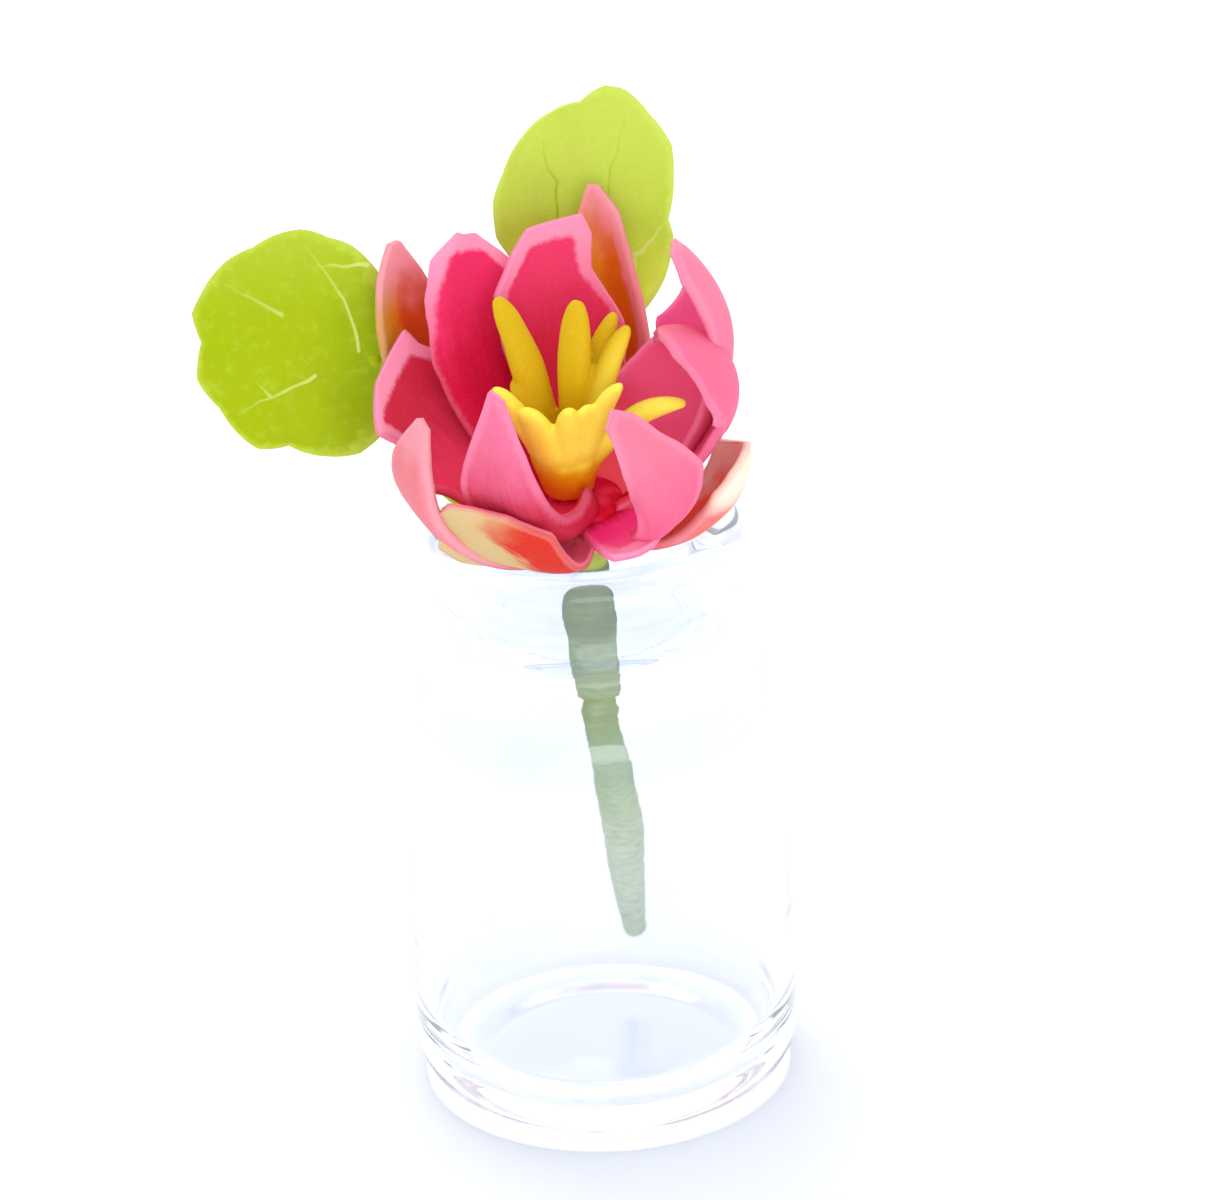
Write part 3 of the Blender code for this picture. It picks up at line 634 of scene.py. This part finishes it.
def pink_clay(name, foot, middle, upper, outer_low, outer_high):
    """Pink clay: three tones up the inner face, two up the outer one, and a pale border. The tones are
    partly painted light and shade: deeper on the shaded inner face, paler on the outer face and the
    border.
    """
    finish = clay(name)
    along = finish.attribute("along")
    across = finish.attribute("across")
    inset = finish.attribute("inset")
    inner = finish.between(finish.attribute("face"), -0.3, 0.3)
    drift = finish.noise(0.0016, detail=3)
    ragged = finish.noise(0.00035, detail=3)
    speck = finish.noise(0.00008, detail=2, rough=0.7)
    stroke = streaks(finish, along, across)
    place = along + (drift - 0.5) * 0.25 + (stroke - 0.5) * 0.3
    colour = finish.mix(finish.between(place, 0.12, 0.42), foot, middle)
    colour = finish.mix(finish.between(place, 0.50, 0.85), colour, upper)
    colour = finish.mix(finish.between(speck, 0.52, 0.70, 0.0, 0.30), colour, HOT_SPECK)
    colour = finish.mix(finish.between(speck, 0.46, 0.30, 0.0, 0.25), colour, DARK_SPECK)
    # A pale border along the free edge of the inner face, partly the clay's own paler edge and partly
    # painted highlight.
    border = finish.between(along, 0.60, 0.97, 0.00012, 0.00085)
    rim = finish.between(inset - border + (ragged - 0.5) * 0.0004, 0.00030, -0.00012)
    rim = rim * finish.between(along, 0.1, 0.3)
    colour = finish.mix(rim * finish.between(along, 0.55, 0.95, 0.25, 0.75), colour, PALE_RIM_AND_HIGHLIGHT)
    back = finish.mix(finish.between(place, 0.35, 0.90), outer_low, outer_high)
    back = finish.mix(finish.between(stroke, 0.40, 0.70, 0.0, 0.16), back, outer_low)
    # The outer face pales towards its edge, partly painted highlight.
    pale_edge_and_highlight = finish.between(inset + (ragged - 0.5) * 0.0004, 0.0006, 0.0002, 0.0, 0.25)
    back = finish.mix(pale_edge_and_highlight, back, PALE_RIM_AND_HIGHLIGHT)
    # The deep inner face and the paler outer face are partly painted shade and painted light.
    colour = finish.mix(inner, back, colour)
    return finish.set(Base_Color=colour, Normal=clay_grain(finish))


# Paints of each pink petal, as a screen gives them. Each petal's tones were set lighter or darker to how
# lit that petal looks, so they are partly painted light and shade: lit and shaded copies of one pink
# clay.
PINKS = {
    "back": dict(
        foot=(206, 38, 58), middle=(218, 46, 72), upper=(228, 62, 100),
        outer_low=(220, 88, 124), outer_high=(236, 118, 152)),
    "back_left": dict(
        foot=(192, 4, 38), middle=(212, 26, 66), upper=(228, 50, 96),
        outer_low=(224, 84, 124), outer_high=(240, 130, 162)),
    "left": dict(
        foot=(250, 84, 120), middle=(236, 66, 100), upper=(200, 46, 68),
        outer_low=(214, 72, 100), outer_high=(232, 118, 148)),
    "front_left": dict(
        foot=(232, 64, 104), middle=(232, 64, 100), upper=(240, 100, 136),
        outer_low=(196, 44, 70), outer_high=(226, 112, 142)),
    "front": dict(
        foot=(190, 2, 8), middle=(255, 60, 140), upper=(250, 90, 140),
        outer_low=(230, 70, 110), outer_high=(246, 110, 148)),
    "front_right": dict(
        foot=(226, 50, 92), middle=(238, 70, 108), upper=(246, 110, 146),
        outer_low=(228, 92, 126), outer_high=(232, 120, 142)),
    "right": dict(
        foot=(255, 100, 110), middle=(255, 108, 158), upper=(250, 96, 148),
        outer_low=(226, 94, 130), outer_high=(232, 108, 138)),
    "back_right": dict(
        foot=(240, 70, 100), middle=(250, 90, 148), upper=(252, 96, 156),
        outer_low=(226, 110, 140), outer_high=(232, 124, 148)),
}


def marbled_clay(name, foot, bands, tip, tip_start, painted_light_lining=None):
    """Clay marbled in bands across the petal, from the clockwise margin at -1 to the other one at 1."""
    finish = clay(name)
    along = finish.attribute("along")
    across = finish.attribute("across")
    inset = finish.attribute("inset")
    drift = finish.noise(0.0019, detail=3)
    ragged = finish.noise(0.00035, detail=3)
    speck = finish.noise(0.00009, detail=2, rough=0.7)
    stroke = streaks(finish, along, across)
    where = across + (drift - 0.5) * 0.6 + (stroke - 0.5) * 0.5
    colour = bands[0][1]
    for (start, _), (end, next_colour) in zip(bands, bands[1:]):
        colour = finish.mix(finish.between(where, start, end), colour, next_colour)
    colour = finish.mix(finish.between(along, 0.40, 0.15), colour, foot)
    near_tip = finish.between(along + (drift - 0.5) * 0.2, tip_start - 0.12, tip_start + 0.1)
    colour = finish.mix(near_tip, colour, tip)
    colour = finish.mix(finish.between(speck, 0.50, 0.70, 0.0, 0.14), colour, SPECK_CORAL)
    # Painted light: a lighter pink over the inner face, which lies in shade.
    if painted_light_lining:
        colour = finish.mix(finish.between(finish.attribute("face"), -0.3, 0.3), colour, painted_light_lining)
    rim = finish.between(inset + (ragged - 0.5) * 0.0003, 0.00034, 0.00018)
    colour = finish.mix(rim * 0.25, colour, RIM_CREAM)
    return finish.set(Base_Color=colour, Normal=clay_grain(finish))


TAN = shade(206, 178, 122)
OLIVE_TAN = shade(196, 150, 50)
ORANGE = shade(206, 96, 8)
BURNT = shade(200, 76, 26)
AMBER = shade(212, 126, 18)
RED_ORANGE = shade(204, 50, 36)
CORAL = shade(255, 104, 84)
SALMON = shade(224, 118, 124)
BLUSH = shade(232, 146, 156)
CREAM = shade(250, 226, 200)
SPECK_CORAL = shade(246, 120, 110)
RIM_CREAM = shade(238, 164, 156)
PINK_PAINTED_LIGHT = shade(255, 120, 150)

# Each marbled petal: the paint of its foot, the bands with the place where each begins across the petal,
# the paint of its tip with the share of the length where it starts, and any pink painted over the inner
# face, which is painted light that brightens an inner face lying in shade.
MARBLES = {
    "rear": (RED_ORANGE,
             [(-1.0, SALMON), (-0.75, SALMON), (-0.50, ORANGE), (-0.1, ORANGE), (0.5, AMBER)],
             BLUSH, 0.92),
    "rear_left": (BURNT, [(-1.0, BURNT), (0.0, BURNT), (0.35, AMBER), (0.9, OLIVE_TAN)], BLUSH, 0.90),
    "far_left": (RED_ORANGE, [(-1.0, SALMON), (0.3, SALMON), (1.0, BLUSH)], BLUSH, 0.90),
    "low_front": (RED_ORANGE, [(-1.0, TAN), (0.15, TAN), (0.5, RED_ORANGE), (1.0, RED_ORANGE)],
                  TAN, 0.80, PINK_PAINTED_LIGHT),
    "low_right": (RED_ORANGE, [(-1.0, SALMON), (-0.5, CORAL), (0.35, CORAL), (0.9, CREAM)],
                  CREAM, 0.74),
}

for order, (title, petal) in enumerate(PINK_PETALS.items()):
    bm = petal_body(PLAIN_PETAL | {"root": PINK_ROOT} | petal, order + 0.5)
    tones = {part: shade(*tone) for part, tone in PINKS[title].items()}
    add_piece("petal_" + title, bm, pink_clay("pink_clay_" + title, **tones), "petals")
for order, (title, petal) in enumerate(TINTED_PETALS.items()):
    bm = petal_body(PLAIN_PETAL | {"root": TINTED_ROOT} | petal, order + 20.5)
    marbled = marbled_clay("marbled_clay_" + title, *MARBLES[title])
    add_piece("petal_" + title, bm, marbled, "outer_petals")


# Lumps. Two balls of clay pressed flat, the upper one pink and the lower one orange and tan. The feet of
# the petals are pressed on them, and the lower one sits on the neck of the stem. Given are the radius,
# and the lower and upper height over the foot of the bloom.
PINK_LUMP = (0.0021, -0.0004, 0.0009)
TINTED_LUMP = (0.0022, -0.0020, -0.0009)
LUMP_FLATNESS = 0.5
LUMP_FULLNESS = 0.15


def lump(radius, bottom, top):
    """A round lump of clay pressed flat above and below."""
    bm = bmesh.new()
    bmesh.ops.create_uvsphere(bm, u_segments=48, v_segments=32, radius=1.0)
    for vertex in bm.verts:
        x, y, z = vertex.co
        flat = abs(z) ** LUMP_FLATNESS * (1 if z > 0 else -1)
        wide = radius * (x * x + y * y) ** LUMP_FULLNESS if x or y else 0
        vertex.co = (x * wide, y * wide, (top + bottom) / 2 + flat * (top - bottom) / 2)
    bmesh.ops.recalc_face_normals(bm, faces=bm.faces)
    bmesh.ops.transform(bm, matrix=bloom_matrix, verts=bm.verts)
    return bm


def lump_clay(name, first, second):
    """Clay of two tones kneaded together."""
    finish = clay(name)
    colour = finish.mix(finish.between(finish.noise(0.0012, detail=3), 0.35, 0.65), first, second)
    return finish.set(Base_Color=colour, Normal=clay_grain(finish))


lump_pink = lump_clay("lump_pink", shade(205, 20, 50), shade(236, 56, 91))
lump_tinted = lump_clay("lump_tinted", ORANGE, TAN)
add_piece("pink_lump", lump(*PINK_LUMP), lump_pink, "petals")
add_piece("tinted_lump", lump(*TINTED_LUMP), lump_tinted, "outer_petals")


# Stamens. A strip of yellow clay, cut into fingers along its upper edge and rolled up to a cup, orange
# at the foot where the colours were blended. The fingers are pinched, bent outwards and rounded.
STAMENS_SHIFT = (-0.0008, 0.0003)
STAMENS_LIFT = 0.0020
CUP_FOOT_RADIUS = 0.0014
CUP_RADIUS = 0.0020
CUP_DEPTH = 0.0024
CUP_SIDES = 40

# Each finger: its azimuth, how far out and how high its tip reaches, and its width.
FINGERS = (
    (124, 0.0053, 0.0092, 0.0020),
    (59, 0.0029, 0.0098, 0.0021),
    (44, 0.0048, 0.0082, 0.0017),
    (19, 0.0044, 0.0085, 0.0019),
    (137, 0.0034, 0.0050, 0.0020),
    (200, 0.0037, 0.0070, 0.0019),
    (236, 0.0033, 0.0064, 0.0021),
    (280, 0.0030, 0.0064, 0.0016),
    (305, 0.0028, 0.0060, 0.0015),
    (325, 0.0042, 0.0073, 0.0018),
    (349, 0.0070, 0.0050, 0.0018),
)
FINGER_ROOT = 0.0010
FINGER_RISE = 0.0008
FINGER_FLATNESS = 0.65
FINGER_SIDES = 16
FINGER_RINGS = 24
ELBOW_LEAST_HEIGHT = 0.0065
CUT_CLAY_VOXEL = 0.00011
SMOOTHING_ROUNDS = 7


def finger_mesh(azimuth, reach, height, width):
    """One stamen: a rod bent along a curve from the cup to its tip, flattened and rounded off."""
    turn = radians(azimuth)
    outward = Vector((cos(turn), sin(turn), 0))
    upward = Vector((0, 0, 1))
    sideways = upward.cross(outward)
    root = FINGER_ROOT * outward
    tip = reach * outward + height * upward
    elbow = ((0.0012 + 0.35 * (reach - FINGER_ROOT)) * outward
             + 0.75 * max(height, ELBOW_LEAST_HEIGHT) * upward)
    rod = bmesh.new()
    bmesh.ops.create_cone(rod, cap_ends=True, segments=FINGER_SIDES, radius1=1, radius2=1, depth=1)
    upright = [edge for edge in rod.edges if abs(edge.verts[0].co.z - edge.verts[1].co.z) > 0.5]
    bmesh.ops.subdivide_edges(rod, edges=upright, cuts=FINGER_RINGS)
    for vertex in rod.verts:
        along = sin(pi / 2 * (vertex.co.z + 0.5))
        place = (1 - along) ** 2 * root + 2 * along * (1 - along) * elbow + along ** 2 * tip
        tangent = (2 * (1 - along) * (elbow - root) + 2 * along * (tip - elbow)).normalized()
        thickness = tangent.cross(sideways)
        rounding = sqrt(max(1 - max(0.0, (along - 0.45) / 0.57) ** 2, 0.02))
        taper = rounding * (0.8 + 0.2 * min(1.0, along / 0.4))
        half = width / 2 * taper * (1 + 0.10 * noise.noise(Vector((along * 5, azimuth, 0))))
        vertex.co = place + half * (vertex.co.x * sideways + FINGER_FLATNESS * vertex.co.y * thickness)
    bmesh.ops.translate(rod, verts=rod.verts, vec=(0, 0, FINGER_RISE))
    mesh = bpy.data.meshes.new("finger")
    rod.to_mesh(mesh)
    rod.free()
    return mesh


def one_skin(bm):
    """The overlapping bodies as one skin, with the joints between them smoothed."""
    mesh = bpy.data.meshes.new("rough")
    bmesh.ops.recalc_face_normals(bm, faces=bm.faces)
    bm.to_mesh(mesh)
    bm.free()
    rough = bpy.data.objects.new("rough", mesh)
    bpy.context.scene.collection.objects.link(rough)
    skin = rough.modifiers.new("skin", "REMESH")
    skin.mode = "VOXEL"
    skin.voxel_size = CUT_CLAY_VOXEL
    relax = rough.modifiers.new("relax", "SMOOTH")
    relax.iterations = SMOOTHING_ROUNDS
    relax.factor = 0.5
    bm = bmesh.new()
    bm.from_object(rough, bpy.context.evaluated_depsgraph_get())
    bpy.data.objects.remove(rough, do_unlink=True)
    return bm


bm = bmesh.new()
cup = bmesh.ops.create_cone(bm, cap_ends=True, segments=CUP_SIDES, radius1=CUP_FOOT_RADIUS,
                            radius2=CUP_RADIUS, depth=CUP_DEPTH)["verts"]
bmesh.ops.translate(bm, verts=cup, vec=(0, 0, CUP_DEPTH / 2))
for finger in FINGERS:
    bm.from_mesh(finger_mesh(*finger))
bm = one_skin(bm)
height_at = bm.verts.layers.float.new("height")
for vertex in bm.verts:
    vertex[height_at] = vertex.co.z
cup_place = Matrix.Translation((*STAMENS_SHIFT, STAMENS_LIFT - FINGER_RISE))
bmesh.ops.transform(bm, matrix=bloom_matrix @ cup_place, verts=bm.verts)

FOOT_ORANGE = shade(222, 122, 4)
CUP_YELLOW = shade(214, 166, 8)
TIP_YELLOW = shade(208, 170, 22)
LIT_YELLOW = shade(248, 232, 84)
PALE_YELLOW = shade(228, 200, 78)
stamen = clay("yellow_clay", roughness=0.45)
height = stamen.attribute("height")
drift = stamen.noise(0.0010, detail=3)
speck = stamen.noise(0.00010, detail=2)
uneven = height + (drift - 0.5) * 0.0012
colour = stamen.mix(stamen.between(uneven, 0.0006, 0.0028), FOOT_ORANGE, CUP_YELLOW)
more_uneven = height + (drift - 0.5) * 0.0020
colour = stamen.mix(stamen.between(more_uneven, 0.0034, 0.0078), colour, TIP_YELLOW)
front = stamen.between(stamen.axis("Y"), -0.0066, -0.0086) * stamen.between(uneven, 0.0018, 0.0036)
colour = stamen.mix(front, colour, LIT_YELLOW)
colour = stamen.mix(stamen.between(speck, 0.45, 0.7, 0.0, 0.25), colour, PALE_YELLOW)
yellow_clay = stamen.set(Base_Color=colour, Normal=clay_grain(stamen))
add_piece("stamens", bm, yellow_clay, "stamens")


# Lily pads. Discs of yellow-green clay rolled thin, with a scalloped edge and pressed veins, each on a
# stalk of the same clay that runs down behind the bloom and is pressed on the neck of the stem.
PAD_THICKNESS = 0.00066
PAD_CELLS = 150
PAD_WAVE = 0.00028
PAD_EDGE_SHARE = 0.7
PAD_WOBBLE = 0.00006
STALK_RADIUS = 0.00045
STALK_START = 0.35
STALK_ROWS = 120
STALK_SIDES = 20

# Base is the point of the pad's edge where its midrib starts, along the direction of the midrib and
# across the direction beside it, before the two are squared up. The outline gives the share of the disc's
# radius that the edge reaches, for each turn in degrees from along towards across. The stalk's knots run
# from beside the stem to the back of the pad; it starts inside the neck of the stem.
PADS = {
    "leaf_left": dict(
        base=(-0.0105, 0.0016, 0.0449), along=(-0.95, 0.12, 0.10), across=(0.05, -0.35, -0.90),
        length=0.0111, width=0.0130, phase=0.4,
        outline=((-160, 1.02), (-142, 1.08), (-121, 1.04), (-106, 0.98), (-90, 0.99), (-60, 0.92),
                 (-43, 0.97), (-20, 1.00), (-10, 1.03), (4, 0.90), (23, 0.98), (43, 0.89), (57, 0.91),
                 (77, 0.94), (96, 0.87), (117, 1.04), (133, 1.19), (143, 1.22), (160, 1.10),
                 (180, 1.00)),
        stalk=((-0.0014, -0.0047, 0.0362), (-0.0040, -0.0032, 0.0361), (-0.0078, -0.0008, 0.0378),
               (-0.0106, 0.0015, 0.0415), (-0.0113, 0.0014, 0.0452))),
    "leaf_top": dict(
        base=(0.0007, 0.0056, 0.0448), along=(0.02, 0.33, 0.94), across=(1.0, 0.0, 0.0),
        length=0.0132, width=0.0103, phase=1.0,
        outline=((-150, 0.92), (-116, 0.97), (-107, 1.02), (-89, 1.00), (-75, 0.92), (-48, 0.86),
                 (-25, 0.83), (-2, 0.84), (14, 1.00), (26, 1.04), (46, 1.02), (65, 1.06), (80, 0.99),
                 (101, 0.92), (109, 1.01), (129, 1.09), (146, 1.13), (165, 1.03)),
        stalk=((0.0010, -0.0037, 0.0362), (0.0012, -0.0018, 0.0362), (0.0012, 0.0022, 0.0371),
               (0.0010, 0.0051, 0.0402), (0.0008, 0.0060, 0.0435), (0.0007, 0.0062, 0.0462))),
}

# Each vein: its weight, below 0 for a pressed groove, and its knots on the disc, across and along.
VEIN_WIDTH = 0.019
VEIN_HEIGHT = 0.00008
VEINS = {
    "leaf_left": ((1.0, (0.0, -0.72), (-0.21, -0.64), (-0.43, -0.50), (-0.67, -0.27), (-0.88, -0.05)),
                  (0.9, (-0.71, -0.67), (-0.70, -0.24)),
                  (0.6, (-0.25, 0.1), (-0.38, 0.46), (-0.49, 0.77)),
                  (0.8, (0.25, -0.30), (0.47, 0.15), (0.67, 0.47)),
                  (0.6, (0.45, 0.15), (0.35, 0.30)),
                  (-0.8, (0.02, -0.98), (0.10, -0.72), (0.06, -0.52))),
    "leaf_top": ((-1.0, (-0.31, -0.40), (-0.31, -0.09), (-0.30, 0.16), (-0.41, 0.29), (-0.46, 0.54)),
                 (1.0, (0.50, -0.46), (0.70, -0.34), (0.90, -0.18)),
                 (1.0, (0.50, -0.46), (0.46, -0.80)),
                 (-0.7, (0.12, -0.5), (0.28, 0.2), (0.45, 0.70))),
}


def vein_relief(veins, x, y):
    """1 on a raised vein of the pad, -1 in a groove, fading beside it and towards its far end."""
    stray = 0.025 * noise.noise(Vector((x * 6, y * 6, 1.0)))
    spot = Vector((x + stray, y - stray))
    relief = 0.0
    for weight, *knots in veins:
        for number, (start, end) in enumerate(zip(knots, knots[1:])):
            run = Vector(end) - Vector(start)
            share = min(1.0, max(0.0, (spot - Vector(start)).dot(run) / run.length_squared))
            away = (Vector(start) + run * share - spot).length
            fade = 1 - 0.65 * (number + share) / (len(knots) - 1)
            strength = weight * fade * float(smoothstep(1.5 - away / (VEIN_WIDTH * fade)))
            if abs(strength) > abs(relief):
                relief = strength
    return relief


def pad_axes(pad):
    """Unit vectors of a pad: along its midrib, across it and at right angles to both."""
    midrib = Vector(pad["along"]).normalized()
    across = Vector(pad["across"])
    across = (across - midrib * across.dot(midrib)).normalized()
    return midrib, across, across.cross(midrib)


def pad_point(pad, axes, x, y):
    """Place on the pad of a point of the unit square, which is rounded to a scalloped disc."""
    midrib, across, face = axes
    disc_x = x * sqrt(1 - y * y / 2)
    disc_y = y * sqrt(1 - x * x / 2)
    reach = sqrt(disc_x ** 2 + disc_y ** 2)
    turn = atan2(disc_x, disc_y)
    turns, reaches = zip(*pad["outline"])
    edge = 1 + (float(np.interp(degrees(turn), turns, reaches, period=360)) - 1) * reach ** 4
    lift = PAD_WAVE * reach ** 2 * (sin(3 * turn + pad["phase"]) + 0.5 * cos(7 * turn))
    place = (Vector(pad["base"]) + midrib * pad["length"] / 2 * (1 + disc_y * edge)
             + across * pad["width"] / 2 * disc_x * edge + face * lift)
    return place, reach, disc_x, disc_y


def pad_body(pad, veins):
    """A lily pad as a closed blade: a grid and its copy a thickness apart, joined along the edge."""
    axes = pad_axes(pad)
    bm = bmesh.new()
    for title in ("reach", "vein", "along"):
        bm.verts.layers.float.new(title)
    reach_at, vein_at, along_at = bm.verts.layers.float.values()
    bmesh.ops.create_grid(bm, x_segments=PAD_CELLS, y_segments=PAD_CELLS, size=1.0)
    back = bmesh.ops.extrude_face_region(bm, geom=bm.faces[:], use_keep_orig=True)["geom"]
    moved = {item for item in back if isinstance(item, bmesh.types.BMVert)}
    for vertex in bm.verts:
        place, reach, disc_x, disc_y = pad_point(pad, axes, vertex.co.x, vertex.co.y)
        side = 1 if vertex in moved else -1
        vein = vein_relief(veins, disc_x, disc_y)
        fullness = PAD_EDGE_SHARE + (1 - PAD_EDGE_SHARE) * float(smoothstep((1 - reach) / 0.08))
        wobble = PAD_WOBBLE * noise.noise(place * 350)
        vertex[reach_at] = reach
        vertex[vein_at] = vein
        vertex[along_at] = disc_y
        lift = side * (PAD_THICKNESS * fullness / 2 + VEIN_HEIGHT * vein) + wobble
        vertex.co = place + axes[2] * lift
    bmesh.ops.recalc_face_normals(bm, faces=bm.faces)
    return bm


VEIN_CREAM = shade(212, 224, 120)
GROOVE_SHADE_GREEN = shade(160, 180, 20)


def leaf_clay(name, shaded, plain, pale):
    """Yellow-green clay of three tones, paler at the upper end, along the edge and on the veins. The tone
    at the foot of the pad is painted for the shade there, the paler upper end is painted light, and the
    pressed grooves are painted darker as shade.
    """
    finish = clay(name)
    reach = finish.attribute("reach")
    vein = finish.attribute("vein")
    along = finish.attribute("along")
    height = finish.axis("Z")
    drift = finish.noise(0.0030, detail=2)
    speck = finish.noise(0.00011, detail=3, rough=0.7)
    mottle = finish.noise(0.0006, detail=3)
    # Painted for the shade at the foot of the pad: the shaded tone there, fading out towards the tip.
    colour = finish.mix(finish.between(along + (drift - 0.5) * 0.5, -1.0, -0.15), shaded, plain)
    # Painted light: the pad is paler higher up, where the light falls.
    colour = finish.mix(finish.between(height, 0.046, 0.055, 0.0, 0.55), colour, pale)
    colour = finish.mix(finish.between(mottle, 0.5, 0.75, 0.0, 0.22), colour, pale)
    colour = finish.mix(finish.between(reach + (mottle - 0.5) * 0.12, 0.90, 1.0, 0.0, 0.6), colour, pale)
    colour = finish.mix(finish.between(speck, 0.46, 0.30, 0.0, 0.25), colour, shaded)
    colour = finish.mix(finish.between(vein, 0.0, 0.9, 0.0, 0.75), colour, VEIN_CREAM)
    # Painted shade: the pressed grooves are darker.
    colour = finish.mix(finish.between(vein, 0.0, -0.8, 0.0, 0.7), colour, GROOVE_SHADE_GREEN)
    return finish.set(Base_Color=colour, Normal=clay_grain(finish))


# Tones of each pad: at its foot, plain and pale. The tone at the foot is painted shade on the left pad;
# on the top pad it is lighter, painted light that offsets the shade and pink bounce of the petals.
LEAF_TONES = {
    "leaf_left": (shade(140, 166, 0), shade(160, 178, 12), shade(194, 212, 78)),
    "leaf_top": (shade(226, 250, 84), shade(176, 194, 54), shade(198, 216, 92)),
}
for name, pad in PADS.items():
    clay_of_leaf = leaf_clay(name + "_clay", *LEAF_TONES[name])
    add_piece(name, pad_body(pad, VEINS[name]), clay_of_leaf, name)
    knots = [Vector(point) for point in pad["stalk"]]
    stalk = smooth_route([stem_top.lerp(knots[0], STALK_START)] + knots, 8)
    bm = tube(stalk, lambda place, length, angle: STALK_RADIUS, STALK_ROWS, STALK_SIDES)
    add_piece(name + "_stalk", bm, clay_of_leaf, name)


# Table and light. The vial stands on white card with a painted glow on it under the vial, painted light
# that stands in for the light the glass gathers there. The sky is white and turns bluer behind the
# viewer.
# One wide soft light stands high on the left behind the bloom, and another one low in front of it.
CARD_HALF_WIDTH = 3.0
CARD_DROP = 0.00002
CARD_WHITE = (0.915, 0.925, 0.965, 1)
PAINTED_GLOW_TO = (0.0102, 0.0107)
PAINTED_GLOW_COLOUR = (0.42, 0.44, 0.48)
SKY_STRENGTH = 1.22
SKY_BLUE = (0.78, 0.84, 0.98)
SKY_WHITE = (0.985, 0.99, 1.0)
WHITE_FROM = 0.36

bm = bmesh.new()
bmesh.ops.create_grid(bm, x_segments=1, y_segments=1, size=CARD_HALF_WIDTH)
bmesh.ops.translate(bm, verts=bm.verts, vec=(0, 0, -CARD_DROP))
mesh = bpy.data.meshes.new("floor")
bm.to_mesh(mesh)
bm.free()
card = Finish("white_card", Base_Color=CARD_WHITE, Roughness=0.7, Specular_IOR_Level=0.1,
              Emission_Strength=1.0)
from_middle = card.node("VectorMath", {"operation": "LENGTH"}, {0: card.place()}, output="Value")
# Painted light: the card glows in a disc under the base of the vial.
painted_glow = card.mix(card.between(from_middle, *PAINTED_GLOW_TO), PAINTED_GLOW_COLOUR, (0, 0, 0))
mesh.materials.append(card.set(Emission_Color=painted_glow))
floor = bpy.data.objects.new("floor", mesh)
bpy.context.scene.collection.objects.link(floor)

world = bpy.data.worlds.new("sky")
bpy.context.scene.world = world
world.use_nodes = True
backdrop = world.node_tree.nodes["Background"]
backdrop.inputs["Strength"].default_value = SKY_STRENGTH
sky = Nodes(world.node_tree)
direction = sky.node("TexCoord", output="Generated")
away = sky.node("SeparateXYZ", {}, {"Vector": direction}, output="Y")
whiteness = sky.node("MapRange", {}, {"Value": away, "From Min": -1.0, "From Max": WHITE_FROM})
colour = sky.mix(whiteness, SKY_BLUE, SKY_WHITE)
world.node_tree.links.new(colour.socket, backdrop.inputs["Color"])


def soft_light(name, place, aim, size, power):
    """A round lamp that looks at the aim."""
    lamp = bpy.data.lights.new(name, "AREA")
    lamp.shape = "DISK"
    lamp.size = size
    lamp.energy = power
    light = bpy.data.objects.new(name, lamp)
    bpy.context.scene.collection.objects.link(light)
    light.matrix_world = aimed(Vector(place), Vector(aim))


soft_light("window", (-0.10, 0.24, 0.40), (0, 0, 0.03), 0.30, 0.4)
soft_light("fill", (0.06, -0.50, 0.10), (0, 0, 0.035), 0.35, 0.9)
bpy.context.scene.view_settings.view_transform = "Standard"
